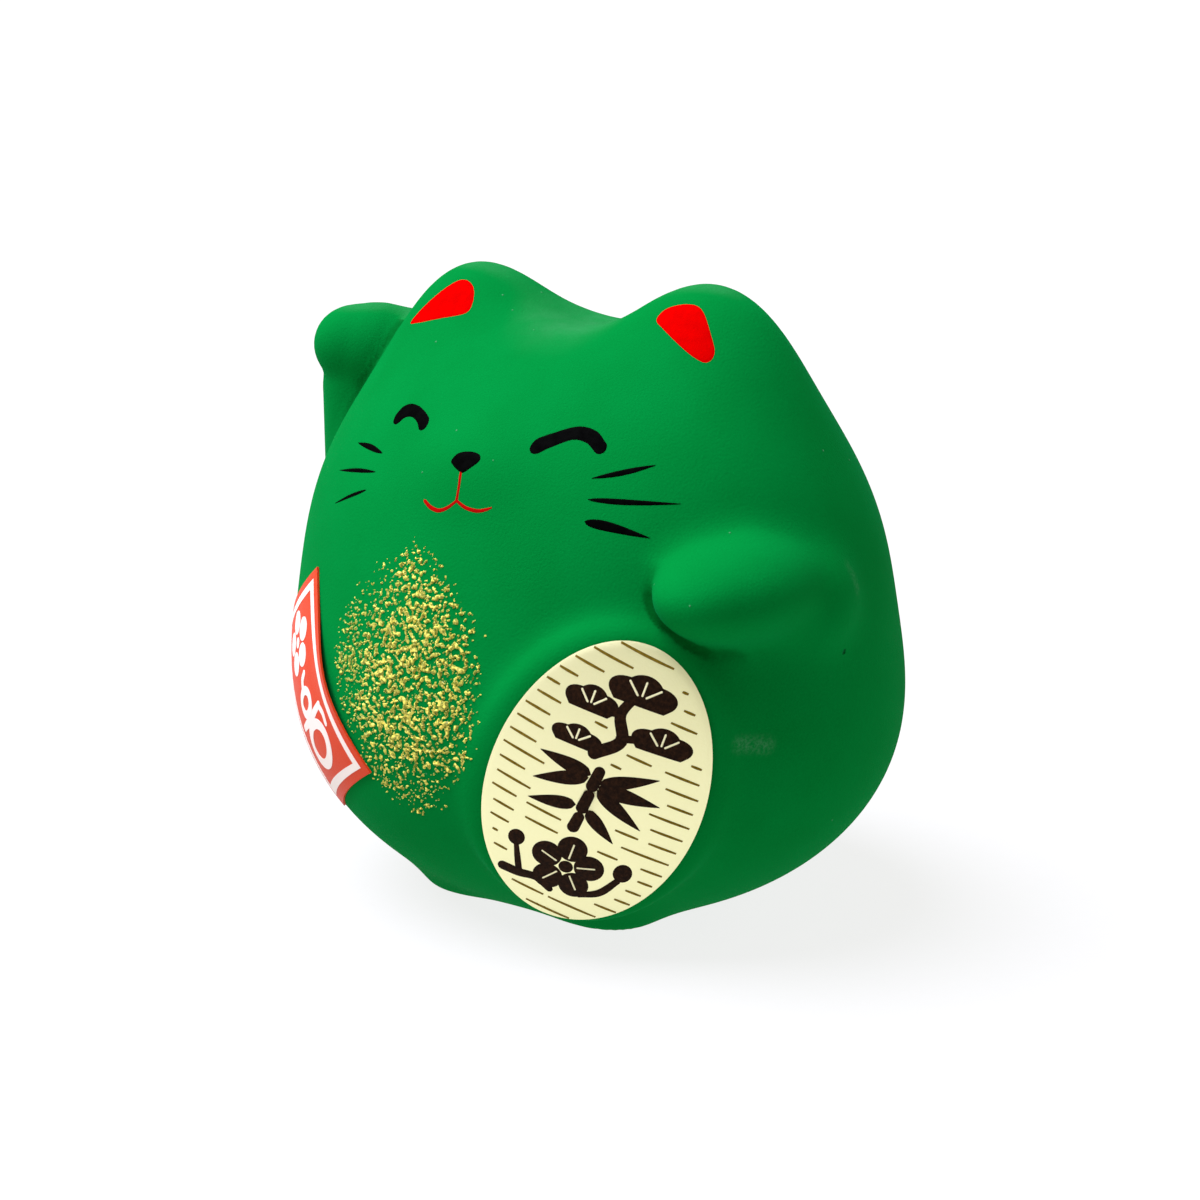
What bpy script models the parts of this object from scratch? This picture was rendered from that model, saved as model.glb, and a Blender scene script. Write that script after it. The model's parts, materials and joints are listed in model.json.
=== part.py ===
"""A lucky cat figurine: a small hollow bell of painted clay that sits with one paw raised.

The skin of the cat is one formula, a distance in millimetres from the surface of softly joined
round forms. The clay is the space under it, and every painted mark, card and label lies on it.
The cat faces -Y, its left is +X, and it stands on z = 0.
"""
import math

import bmesh
import bpy
import numpy as np
from mathutils import Vector

# Sizes and places are in millimetres, names that end in DEG in degrees. MM turns them into metres.
MM = 0.001

# Belly and head, two ellipsoids that share most of their space
BELLY_HEIGHT = 17.1
BELLY_HALF_WIDTH = 27.5
BELLY_HALF_DEPTH = 24.5
BELLY_HALF_HEIGHT = 18.7
HEAD_FORWARD = 1.1
HEAD_RISE = 16.1
HEAD_HEIGHT = BELLY_HEIGHT + HEAD_RISE
HEAD_HALF_WIDTH = 26.5
HEAD_HALF_DEPTH = 18.0
HEAD_HALF_HEIGHT = 17.6
NECK_BLEND = 24.5

# Ears, one on each side
EAR_OUT = 12.9
EAR_FORWARD = 0.5
EAR_RISE = 11.0
EAR_HEIGHT = HEAD_HEIGHT + EAR_RISE
EAR_HALF_WIDTH = 7.7
EAR_HALF_DEPTH = 4.8
EAR_HALF_HEIGHT = 11.3
EAR_BLEND = 15.5

# Soft swelling round the mouth
MUZZLE_SINK = 3.9
MUZZLE_FORWARD = HEAD_FORWARD + HEAD_HALF_DEPTH - MUZZLE_SINK
MUZZLE_RISE = 6.0
MUZZLE_HEIGHT = HEAD_HEIGHT + MUZZLE_RISE
MUZZLE_HALF_WIDTH = 5.2
MUZZLE_HALF_DEPTH = 3.3
MUZZLE_HALF_HEIGHT = 3.7
MUZZLE_BLEND = 5.0

# Seat and two front feet that widen the foot of the belly
SEAT_BACK = 1.1
SEAT_HEIGHT = 6.6
SEAT_HALF_WIDTH = 12.2
SEAT_HALF_DEPTH = 12.3
SEAT_HALF_HEIGHT = 7.0
SEAT_BLEND = 6.0
FOOT_OUT = 7.9
FOOT_FORWARD = 8.9
FOOT_HEIGHT = 3.4
FOOT_HALF_WIDTH = 4.0
FOOT_HALF_DEPTH = 3.1
FOOT_HALF_HEIGHT = 4.9
FOOT_BLEND = 6.0
BASE_ROUNDING = 1.2

# Bobbed tail, low on the back
TAIL_SINK = 1.9
TAIL_BACK = BELLY_HALF_DEPTH - TAIL_SINK
TAIL_HEIGHT = 9.5
TAIL_HALF_WIDTH = 4.6
TAIL_HALF_DEPTH = 4.0
TAIL_HALF_HEIGHT = 5.0
TAIL_BLEND = 3.0

# Raised arm on the cat's right, its points as (side, depth, rise) from the belly's middle
ARM_SHOULDER = (-22.0, 2.5, 5.4)
ARM_SHOULDER_RADIUS = 6.2
ARM_WRIST = (-25.5, -0.5, 24.3)
ARM_WRIST_RADIUS = 5.5
ARM_BLEND = 1.2
PAW_TIP = (-26.2, -2.4, 29.8)
PAW_TIP_RADIUS = 4.3
PAW_HEEL = (-20.0, 1.1, 29.7)
PAW_HEEL_RADIUS = 4.7
PAW_BLEND = 1.6

# Resting arm on the cat's left, whose paw lies on the plaque, its points given likewise from the
# paw to the elbow, and the soft upper side of the arm
REST_PAW = (19.4, -13.6, 12.2)
REST_PAW_RADIUS = 4.2
REST_WRIST = (21.8, -12.4, 16.1)
REST_WRIST_RADIUS = 3.0
REST_BEND = (23.9, -10.5, 16.2)
REST_BEND_RADIUS = 3.8
REST_ELBOW = (25.2, -5.1, 14.3)
REST_ELBOW_RADIUS = 4.7
REST_CREASE = 1.5
REST_BLEND = 3.2
FOREARM = (23.9, -11.9, 15.6)
FOREARM_HALF_WIDTH = 5.7
FOREARM_HALF_DEPTH = 8.4
FOREARM_HALF_HEIGHT = 4.5
FOREARM_BLEND = 3.2

# Oval plaque in the clay at the cat's left foot, which carries the gold card
PLAQUE_TURN_DEG = 29.6
PLAQUE_PITCH_DEG = -8.5
PLAQUE_TILT_DEG = 20.3
PLAQUE_PROUD = 1.8
PLAQUE_OUT = BELLY_HALF_DEPTH + PLAQUE_PROUD
PLAQUE_SIDE = 3.5
PLAQUE_DROP = 0.4
PLAQUE_HEIGHT = BELLY_HEIGHT - PLAQUE_DROP
PLAQUE_HALF_LENGTH = 14.3
PLAQUE_HALF_WIDTH = 10.9
PLAQUE_DOME_RADIUS = 42.0
PLAQUE_EDGE = 2.8
PLAQUE_DEPTH = 14.0
PLAQUE_BACK_ROUNDING = 1.0
PLAQUE_BLEND = 2.3

# Hollow, sound slot and pellet
WALL = 3.2
FLOOR = 3.0
SLOT_LENGTH = 15.0
SLOT_WIDTH = 5.0
PELLET_DIAMETER = 7.6
PELLET_CLEARANCE = 0.3
PELLET_FROM_SLOT = 1.0

# Films of paint, paper and card: how far off the skin, and how thick
FILM_GAP = 0.25
PAINT = 0.2
PAPER = 0.25
CARD = 0.4

# Gold card on the plaque
CARD_END_MARGIN = 1.1
CARD_SIDE_MARGIN = 1.9

# Red paper label on the cat's right flank
LABEL_TURN_DEG = -39.0
LABEL_RISE = 2.7
LABEL_TILT_DEG = -36.0
LABEL_HALF_WIDTH = 5.8
LABEL_HALF_LENGTH = 10.2
LABEL_CORNER = 0.5

# Gold dabs on the breast, which cover a leaning leaf shape
DABS_SIDE = -1.6
DABS_RISE = 6.2
DABS_HALF_WIDTH = 8.3
DABS_HALF_HEIGHT = 11.6
DABS_TILT_DEG = -8.0
DABS_POINTEDNESS = 0.6

# Face as seen from the front, all heights taken from the muzzle's middle.
# Eyes are (side, half width, rise of the arch), and their strokes end bluntly at EYE_BLUNTNESS
# of the half wave that their width follows.
EYES = {
    "right_eye": (-8.8, 2.5, 1.5),
    "left_eye": (8.9, 3.1, 1.7),
}
EYE_LIFT = 4.4
EYE_STROKE = 0.95
EYE_BLUNTNESS = 0.06
NOSE_SIDE = 0.3
NOSE_LIFT = 2.8
NOSE_HALF_WIDTH = 1.45
NOSE_HALF_HEIGHT = 0.95
NOSE_ROUNDING = 0.35
MOUTH_GAP = 0.3
MOUTH_STEM = 2.0
MOUTH_CURL = 1.0
MOUTH_HALF_WIDTH = 3.6
MOUTH_STROKE = 0.4
CURL_TURN_DEG = 150.0

# Whiskers, each from (side, lift) to (side, lift) with its width
WHISKERS = {
    "right_whisker_top": ((-11.0, 1.9), (-15.5, 2.2), 0.5),
    "right_whisker_middle": ((-11.0, 0.4), (-17.2, -0.6), 0.5),
    "right_whisker_bottom": ((-11.4, -1.3), (-15.9, -3.0), 0.5),
    "left_whisker_top": ((11.9, 2.3), (16.2, 3.6), 0.5),
    "left_whisker_middle": ((12.2, 0.7), (19.1, 0.7), 0.5),
    "left_whisker_bottom": ((12.4, -0.9), (17.7, -1.9), 0.9),
}
WHISKER_ROOT = 0.09
WHISKER_TIP = 0.02

# Red inside of the ears: corners of a soft triangle seen square to the ear's front slope, as
# (out from the ear's middle line, up the slope)
EAR_PAINT_PITCH_DEG = 45.0
EAR_PAINT_RISE = 7.5
EAR_PAINT_CORNERS = ((-2.9, 0.9), (0.3, 3.1), (4.1, -1.4))
EAR_PAINT_ROUNDING = 0.8

# How rays walk to the skin: they start FAR away, and go CAUTION of the measured distance a step
FAR = 60.0
STEPS = 90
CAUTION = 0.8
LEVELLING = 0.05

# Fineness of the meshes
SKIN_CUTS = 23
HOLLOW_CUTS = 9
OVAL_POINTS = 32
DISC_RINGS = 4
STROKE_STEPS = 10
STEM_STEPS = 3
SQUARE = ((-1, -1), (1, -1), (1, 1), (-1, 1))

# Looks
CLAY_GREEN = (0.010, 0.300, 0.080)
PAINT_RED = (0.800, 0.010, 0.010)
PAINT_BLACK = (0.008, 0.008, 0.008)
DAB_GOLD = (0.600, 0.520, 0.180)
CARD_GOLD = (0.900, 0.850, 0.520)
LABEL_RED = (0.750, 0.060, 0.030)
BARE_CLAY = (0.350, 0.180, 0.100)


# Distances to round forms

def length(vectors):
    return np.sqrt((vectors * vectors).sum(-1))


def ellipsoid(points, centre, half_sizes):
    """Signed distance to an ellipsoid, exact on its surface and close near it."""
    offsets = points - np.array(centre)
    half_sizes = np.array(half_sizes)
    scaled = length(offsets / half_sizes)
    slope = length(offsets / half_sizes ** 2)
    return scaled * (scaled - 1) / np.maximum(slope, 1e-9)


def limb(points, start, end, start_radius, end_radius):
    """Signed distance to a straight limb with round ends that tapers from start to end."""
    start = np.array(start)
    run = np.array(end) - start
    along = np.clip((points - start) @ run / (run @ run), 0, 1)
    radius = start_radius + (end_radius - start_radius) * along
    return length(points - start - along[..., None] * run) - radius


def join(first, second, reach):
    """Union of two distances, filled smoothly where they differ by less than reach."""
    near = np.maximum(reach - np.abs(first - second), 0) / reach
    return np.minimum(first, second) - near ** 3 * reach / 6


def common(first, second, reach):
    """What lies inside both distances, with its edge rounded over reach."""
    return -join(-first, -second, reach)


# The cat's forms

def from_belly(point):
    return np.array(point) + (0, 0, BELLY_HEIGHT)


def torso(points):
    belly = ellipsoid(points, (0, 0, BELLY_HEIGHT),
                      (BELLY_HALF_WIDTH, BELLY_HALF_DEPTH, BELLY_HALF_HEIGHT))
    head = ellipsoid(points, (0, -HEAD_FORWARD, HEAD_HEIGHT),
                     (HEAD_HALF_WIDTH, HEAD_HALF_DEPTH, HEAD_HALF_HEIGHT))
    return join(belly, head, NECK_BLEND)


def muzzle(points):
    return ellipsoid(points, (0, -MUZZLE_FORWARD, MUZZLE_HEIGHT),
                     (MUZZLE_HALF_WIDTH, MUZZLE_HALF_DEPTH, MUZZLE_HALF_HEIGHT))


def ear(points, side):
    return ellipsoid(points, (side * EAR_OUT, -EAR_FORWARD, EAR_HEIGHT),
                     (EAR_HALF_WIDTH, EAR_HALF_DEPTH, EAR_HALF_HEIGHT))


def foot(points, side):
    return ellipsoid(points, (side * FOOT_OUT, -FOOT_FORWARD, FOOT_HEIGHT),
                     (FOOT_HALF_WIDTH, FOOT_HALF_DEPTH, FOOT_HALF_HEIGHT))


def seat(points):
    return ellipsoid(points, (0, SEAT_BACK, SEAT_HEIGHT),
                     (SEAT_HALF_WIDTH, SEAT_HALF_DEPTH, SEAT_HALF_HEIGHT))


def tail(points):
    return ellipsoid(points, (0, TAIL_BACK, TAIL_HEIGHT),
                     (TAIL_HALF_WIDTH, TAIL_HALF_DEPTH, TAIL_HALF_HEIGHT))


def raised_arm(points):
    arm = limb(points, from_belly(ARM_SHOULDER), from_belly(ARM_WRIST),
               ARM_SHOULDER_RADIUS, ARM_WRIST_RADIUS)
    paw = limb(points, from_belly(PAW_TIP), from_belly(PAW_HEEL),
               PAW_TIP_RADIUS, PAW_HEEL_RADIUS)
    return join(arm, paw, PAW_BLEND)


def resting_arm(points):
    paw = limb(points, from_belly(REST_PAW), from_belly(REST_WRIST),
               REST_PAW_RADIUS, REST_WRIST_RADIUS)
    ridge = limb(points, from_belly(REST_WRIST), from_belly(REST_BEND),
                 REST_WRIST_RADIUS, REST_BEND_RADIUS)
    upper = limb(points, from_belly(REST_BEND), from_belly(REST_ELBOW),
                 REST_BEND_RADIUS, REST_ELBOW_RADIUS)
    forearm = ellipsoid(points, from_belly(FOREARM),
                        (FOREARM_HALF_WIDTH, FOREARM_HALF_DEPTH, FOREARM_HALF_HEIGHT))
    arm = join(join(paw, ridge, REST_CREASE), upper, REST_CREASE)
    return join(arm, forearm, FOREARM_BLEND)


class Chart:
    """A flat sheet held in front of the cat: across and up lie in it, outward leaves the cat."""

    def __init__(self, turn, pitch=0.0, tilt=0.0, middle=(0.0, 0.0, 0.0)):
        turn, pitch, tilt = (math.radians(angle) for angle in (turn, pitch, tilt))
        self.outward = np.array((math.sin(turn) * math.cos(pitch),
                                 -math.cos(turn) * math.cos(pitch), math.sin(pitch)))
        level = np.array((math.cos(turn), math.sin(turn), 0))
        steep = np.cross(self.outward, level)
        self.up = steep * math.cos(tilt) + level * math.sin(tilt)
        self.across = level * math.cos(tilt) - steep * math.sin(tilt)
        self.middle = np.array(middle)

    def point(self, sheet):
        sheet = np.asarray(sheet, dtype=float)
        return self.middle + sheet[..., :1] * self.across + sheet[..., 1:] * self.up


def around(turn, out, side, height):
    """The place out from the cat's middle in the direction turn, and then side to its right."""
    angle = math.radians(turn)
    return (math.sin(angle) * out + math.cos(angle) * side,
            -math.cos(angle) * out + math.sin(angle) * side, height)


FRONT = Chart(0)
FACE = Chart(0, middle=(0, 0, MUZZLE_HEIGHT))
EAR_SLOPE = Chart(0, EAR_PAINT_PITCH_DEG,
                  middle=(0, -EAR_FORWARD - EAR_HALF_DEPTH, EAR_HEIGHT + EAR_PAINT_RISE))
PLAQUE = Chart(PLAQUE_TURN_DEG, PLAQUE_PITCH_DEG, PLAQUE_TILT_DEG,
               around(PLAQUE_TURN_DEG, PLAQUE_OUT, PLAQUE_SIDE, PLAQUE_HEIGHT))
FLANK = Chart(LABEL_TURN_DEG, 0, LABEL_TILT_DEG, (0, 0, BELLY_HEIGHT + LABEL_RISE))


def plaque(points):
    """An upright oval plug with a domed face and a rounded edge."""
    offsets = points - PLAQUE.middle
    sheet = np.stack((offsets @ PLAQUE.across, offsets @ PLAQUE.up), -1)
    rim = ellipsoid(sheet, (0, 0), (PLAQUE_HALF_WIDTH, PLAQUE_HALF_LENGTH))
    dome = length(offsets + PLAQUE.outward * PLAQUE_DOME_RADIUS) - PLAQUE_DOME_RADIUS
    back = -(offsets @ PLAQUE.outward) - PLAQUE_DEPTH
    return common(common(rim, dome, PLAQUE_EDGE), back, PLAQUE_BACK_ROUNDING)


def skin(points):
    """Signed distance to the outside of the clay."""
    form = join(torso(points), muzzle(points), MUZZLE_BLEND)
    for side in (-1, 1):
        form = join(form, ear(points, side), EAR_BLEND)
    for side in (-1, 1):
        form = join(form, foot(points, side), FOOT_BLEND)
    form = join(form, seat(points), SEAT_BLEND)
    form = join(form, tail(points), TAIL_BLEND)
    form = join(form, raised_arm(points), ARM_BLEND)
    form = join(form, plaque(points), PLAQUE_BLEND)
    form = join(form, resting_arm(points), REST_BLEND)
    return common(form, -points[..., 2], BASE_ROUNDING)


def hollow(points):
    """Signed distance to the inside of the clay, a plain egg with a flat floor."""
    return common(torso(points) + WALL, FLOOR - points[..., 2], BASE_ROUNDING)


# From the formula to points on it

def cast(starts, direction, form):
    """Walk each start along its direction until it meets the form."""
    travelled = np.zeros(len(starts))
    for _ in range(STEPS):
        points = starts + travelled[:, None] * direction
        travelled = np.minimum(travelled + form(points) * CAUTION, FAR)
    return starts + travelled[:, None] * direction


def slope(points, form, step=0.05):
    """Unit direction in which the form's distance grows."""
    shifts = np.eye(3) * step
    gradient = np.stack([form(points + shift) - form(points - shift) for shift in shifts], -1)
    return gradient / length(gradient)[:, None]


def on_skin(chart, sheet):
    """Points of the skin behind points of a chart, and the skin's outward directions there."""
    starts = chart.point(sheet)
    starts = starts + chart.outward * (FAR - (starts @ chart.outward)[:, None])
    points = cast(starts, -chart.outward, skin)
    return points, slope(points, skin)


# Meshes and objects

def material(name, colour, roughness):
    made = bpy.data.materials.new(name)
    made.use_nodes = True
    shader = made.node_tree.nodes["Principled BSDF"]
    shader.inputs["Base Color"].default_value = (*colour, 1)
    shader.inputs["Roughness"].default_value = roughness
    shader.inputs["Metallic"].default_value = 0
    return made


def add_object(name, bm, look=None, parent=None):
    """Turn a bmesh in millimetres into an object in metres with faces that point outward."""
    bmesh.ops.scale(bm, vec=(MM, MM, MM), verts=bm.verts)
    bmesh.ops.recalc_face_normals(bm, faces=bm.faces)
    mesh = bpy.data.meshes.new(name)
    bm.to_mesh(mesh)
    bm.free()
    mesh.shade_smooth()
    made = bpy.data.objects.new(name, mesh)
    bpy.context.scene.collection.objects.link(made)
    made.parent = parent
    if look:
        mesh.materials.append(look)
    return made


def blown_cube(form, cuts):
    """A finely cut cube whose points are moved along rays from the head's middle onto the form."""
    middle = np.array((0, -HEAD_FORWARD, HEAD_HEIGHT))
    bm = bmesh.new()
    bmesh.ops.create_cube(bm, size=2)
    bmesh.ops.subdivide_edges(bm, edges=bm.edges[:], cuts=cuts, use_grid_fill=True)
    rays = np.tan(np.array([vertex.co for vertex in bm.verts]) * math.pi / 4)
    rays = rays / length(rays)[:, None]
    points = cast(middle + rays * FAR, -rays, form)
    lowest = points[:, 2].min()
    points[points[:, 2] < lowest + LEVELLING, 2] = lowest
    for vertex, point in zip(bm.verts, points):
        vertex.co = Vector(point)
    return bm


def film(name, chart, sheet, faces, thickness, look, parent):
    """A closed film on the skin under a flat mesh of chart points, whose faces run anticlockwise."""
    points, outward = on_skin(chart, sheet)
    bm = bmesh.new()
    under = [bm.verts.new(p) for p in points + outward * FILM_GAP]
    over = [bm.verts.new(p) for p in points + outward * (FILM_GAP + thickness)]
    edges = set()
    for face in faces:
        bm.faces.new([over[i] for i in face])
        bm.faces.new([under[i] for i in reversed(face)])
        edges.update(zip(face, face[1:] + face[:1]))
    for here, there in sorted(edges):
        if (there, here) not in edges:
            bm.faces.new((over[there], over[here], under[here], under[there]))
    return add_object(name, bm, look, parent)


def ribbon(line):
    """Flat mesh of a stroke, from points (side, height, half width) along its middle."""
    line = np.array(line, dtype=float)
    runs = np.gradient(line[:, :2], axis=0)
    runs = runs / length(runs)[:, None]
    edge = np.stack((-runs[:, 1], runs[:, 0]), -1) * line[:, 2:]
    sheet = np.stack((line[:, :2] - edge, line[:, :2] + edge), 1).reshape(-1, 2)
    faces = [(2 * i, 2 * i + 2, 2 * i + 3, 2 * i + 1) for i in range(len(line) - 1)]
    return sheet, faces


def disc(outline):
    """Flat mesh inside a loop of chart points that can all be seen from the loop's middle."""
    outline = np.array(outline, dtype=float)
    count = len(outline)
    middle = outline.mean(0)
    shares = np.arange(1, DISC_RINGS + 1) / DISC_RINGS
    sheet = np.vstack([middle[None], *(middle + (outline - middle) * share for share in shares)])
    faces = []
    for here in range(count):
        there = (here + 1) % count
        faces.append((0, 1 + here, 1 + there))
        for inner in range(1, 1 + (DISC_RINGS - 1) * count, count):
            outer = inner + count
            faces.append((inner + here, outer + here, outer + there, inner + there))
    return sheet, faces


# Outlines and lines in a chart

def turned(sheet, tilt):
    """Chart points turned by tilt degrees, upper end towards +side."""
    angle = math.radians(tilt)
    sheet = np.array(sheet, dtype=float)
    side = sheet[:, 0] * math.cos(angle) + sheet[:, 1] * math.sin(angle)
    rise = sheet[:, 1] * math.cos(angle) - sheet[:, 0] * math.sin(angle)
    return np.stack((side, rise), -1)


def oval(half_width, half_height, count=OVAL_POINTS):
    angles = np.arange(count) * 2 * math.pi / count
    return np.stack((half_width * np.cos(angles), half_height * np.sin(angles)), -1)


def leaf(half_width, half_height, count=OVAL_POINTS):
    """An oval that narrows towards blunt points at its top and bottom."""
    outline = oval(half_width, half_height, count)
    outline[:, 0] *= np.abs(outline[:, 0] / half_width) ** DABS_POINTEDNESS
    return outline


def rounded(corners, radius, arc_steps=3, side_steps=4):
    """Outline through corners, given anticlockwise, with each corner cut to an arc."""
    corners = np.array(corners, dtype=float)
    arcs = []
    for before, corner, after in zip(np.roll(corners, 1, 0), corners, np.roll(corners, -1, 0)):
        back = (before - corner) / length(before - corner)
        ahead = (after - corner) / length(after - corner)
        reach = radius / math.tan(math.acos(float(back @ ahead)) / 2)
        shares = np.linspace(0, 1, arc_steps + 1)[:, None]
        arcs.append(corner + back * reach * (1 - shares) ** 2 + ahead * reach * shares ** 2)
    outline = []
    for arc, following in zip(arcs, arcs[1:] + arcs[:1]):
        side = np.linspace(arc[-1], following[0], side_steps + 1)[1:-1]
        outline += [*arc, *side]
    return np.array(outline)


def arch(middle, base, half_width, rise, half_stroke):
    """A closed eye: an arch with round ends, as (side, height, half width) points."""
    angles = np.linspace(math.pi, 0, STROKE_STEPS + 1)
    shares = np.linspace(0, 1, STROKE_STEPS + 1)
    swell = np.sqrt(np.sin(np.pi * (EYE_BLUNTNESS + (1 - 2 * EYE_BLUNTNESS) * shares)))
    return np.stack((middle + half_width * np.cos(angles), base + rise * np.sin(angles),
                     half_stroke * swell), -1)


def taper(start, end, half_stroke):
    """A whisker: thick near its start and pointed at both ends."""
    shares = np.linspace(0, 1, STROKE_STEPS + 1)
    line = np.array(start) + (np.array(end) - np.array(start)) * shares[:, None]
    swell = np.sin(np.pi * (WHISKER_ROOT + (1 - WHISKER_ROOT - WHISKER_TIP) * shares ** 0.8))
    return np.column_stack((line, half_stroke * swell))


# Sub-parts

def make_shell(parent):
    """The clay: the skin's solid, less the hollow and the sound slot through the floor."""
    shell = add_object("clay_shell", blown_cube(skin, SKIN_CUTS),
                       material("painted_clay", CLAY_GREEN, 0.75), parent)
    cavity = add_object("hollow_cutter", blown_cube(hollow, HOLLOW_CUTS), None, parent)
    bm = bmesh.new()
    bmesh.ops.create_cube(bm, size=1)
    bmesh.ops.scale(bm, vec=(SLOT_LENGTH, SLOT_WIDTH, 2 * BELLY_HEIGHT), verts=bm.verts)
    slot = add_object("slot_cutter", bm, None, parent)
    for cutter in (cavity, slot):
        cutter.hide_render = True
        cutter.display_type = "WIRE"
        cut = shell.modifiers.new(cutter.name, "BOOLEAN")
        cut.operation = "DIFFERENCE"
        cut.solver = "EXACT"
        cut.object = cutter


def make_pellet(parent):
    """The loose clay ball that rattles in the hollow, let down beside the slot until it rests."""
    radius = PELLET_DIAMETER / 2
    bm = bmesh.new()
    bmesh.ops.create_icosphere(bm, subdivisions=2, radius=radius)
    pellet = add_object("sound_pellet", bm, material("bare_clay", BARE_CLAY, 0.9), parent)
    start = np.array([(0, SLOT_WIDTH / 2 + PELLET_FROM_SLOT + radius, HEAD_HEIGHT)])
    room = radius + PELLET_CLEARANCE
    rest = cast(start, np.array((0, 0, -1)), lambda points: -hollow(points) - room)
    pellet.location = Vector(rest[0]) * MM


def make_card(parent):
    sheet, faces = disc(oval(PLAQUE_HALF_WIDTH - CARD_SIDE_MARGIN,
                             PLAQUE_HALF_LENGTH - CARD_END_MARGIN))
    film("gold_card", PLAQUE, sheet, faces, CARD, material("gold_card", CARD_GOLD, 0.5), parent)


def make_label(parent):
    corners = [(LABEL_HALF_WIDTH * x, LABEL_HALF_LENGTH * y) for x, y in SQUARE]
    sheet, faces = disc(rounded(corners, LABEL_CORNER, side_steps=6))
    look = material("red_label_paper", LABEL_RED, 0.45)
    film("red_label", FLANK, sheet, faces, PAPER, look, parent)


def make_dabs(parent):
    sheet, faces = disc(turned(leaf(DABS_HALF_WIDTH, DABS_HALF_HEIGHT), DABS_TILT_DEG))
    look = material("gold_dabs", DAB_GOLD, 0.55)
    middle = (DABS_SIDE, BELLY_HEIGHT + DABS_RISE)
    film("gold_dabs", FRONT, sheet + middle, faces, PAINT, look, parent)


def make_ear_paint(parent):
    look = material("red_ear_paint", PAINT_RED, 0.6)
    for name, side in (("right_ear_red", -1), ("left_ear_red", 1)):
        corners = [(side * (EAR_OUT + out), up) for out, up in EAR_PAINT_CORNERS][::-side]
        sheet, faces = disc(rounded(corners, EAR_PAINT_ROUNDING))
        film(name, EAR_SLOPE, sheet, faces, PAINT, look, parent)


def make_eyes_and_whiskers(look, parent):
    for name, (side, half_width, rise) in EYES.items():
        line = arch(side, EYE_LIFT, half_width, rise, EYE_STROKE / 2)
        film(name, FACE, *ribbon(line), PAINT, look, parent)
    for name, (start, end, width) in WHISKERS.items():
        film(name, FACE, *ribbon(taper(start, end, width / 2)), PAINT, look, parent)


def make_nose(look, parent):
    corners = [(NOSE_HALF_WIDTH * x, NOSE_HALF_HEIGHT * y) for x, y in ((0, -1), (1, 1), (-1, 1))]
    sheet, faces = disc(rounded(corners, NOSE_ROUNDING, side_steps=3))
    film("nose", FACE, sheet + (NOSE_SIDE, NOSE_LIFT), faces, PAINT, look, parent)


def make_mouth(look, parent):
    """A stem under the nose that parts into two curls, as one closed film."""
    shares = np.linspace(-1, 1, 2 * STROKE_STEPS + 1)
    top = NOSE_LIFT - NOSE_HALF_HEIGHT - MOUTH_GAP
    fork = top - MOUTH_STEM
    sag = MOUTH_CURL * np.sin(math.radians(CURL_TURN_DEG) * np.abs(shares))
    line = np.stack((NOSE_SIDE + MOUTH_HALF_WIDTH * shares, fork - sag,
                     np.full(shares.shape, MOUTH_STROKE / 2)), -1)
    sheet, faces = ribbon(line)
    below = 2 * STROKE_STEPS + 1
    rows = np.linspace(sheet[below, 1] + MOUTH_STROKE / 2, top, STEM_STEPS + 1)
    first = len(sheet)
    stem = [(NOSE_SIDE + half * MOUTH_STROKE, row) for row in rows for half in (-0.5, 0.5)]
    faces += [(below - 2, below, first), (below, first + 1, first), (below, below + 2, first + 1)]
    faces += [(i, i + 1, i + 3, i + 2) for i in range(first, first + 2 * STEM_STEPS, 2)]
    film("mouth", FACE, np.vstack((sheet, stem)), faces, PAINT, look, parent)


def stand_on_origin(parent):
    """Move the whole figurine so that the middle of its box stands on the origin."""
    bpy.context.view_layer.update()
    corners = np.array([child.matrix_world @ vertex.co for child in parent.children
                        if not child.hide_render for vertex in child.data.vertices])
    middle = (corners.min(0) + corners.max(0)) / 2
    parent.location = (-middle[0], -middle[1], -corners[:, 2].min())


def main():
    for existing in list(bpy.data.objects):
        bpy.data.objects.remove(existing, do_unlink=True)
    cat = bpy.data.objects.new("lucky_cat", None)
    bpy.context.scene.collection.objects.link(cat)
    black = material("black_paint", PAINT_BLACK, 0.5)
    make_shell(cat)
    make_pellet(cat)
    make_card(cat)
    make_label(cat)
    make_dabs(cat)
    make_ear_paint(cat)
    make_eyes_and_whiskers(black, cat)
    make_nose(black, cat)
    make_mouth(material("red_mouth_paint", PAINT_RED, 0.5), cat)
    stand_on_origin(cat)


main()
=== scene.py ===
# %% [markdown]
# # A lucky cat of painted clay
#
# The real object is a palm-sized bell: a hollow cat of fired clay with matt green paint, a gold
# card at its foot, a red paper label on its flank and a loose clay pellet inside. The packed CAD
# model already has every solid in its place. This lesson lays the fine surface over it: a
# smoother body, brushed paint, printed card and paper, and light. All places are in the cat's
# own millimetres, and MM turns them into Blender's metres.

import json
import math

import bmesh
import bpy
import numpy as np
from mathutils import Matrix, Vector, noise

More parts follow.
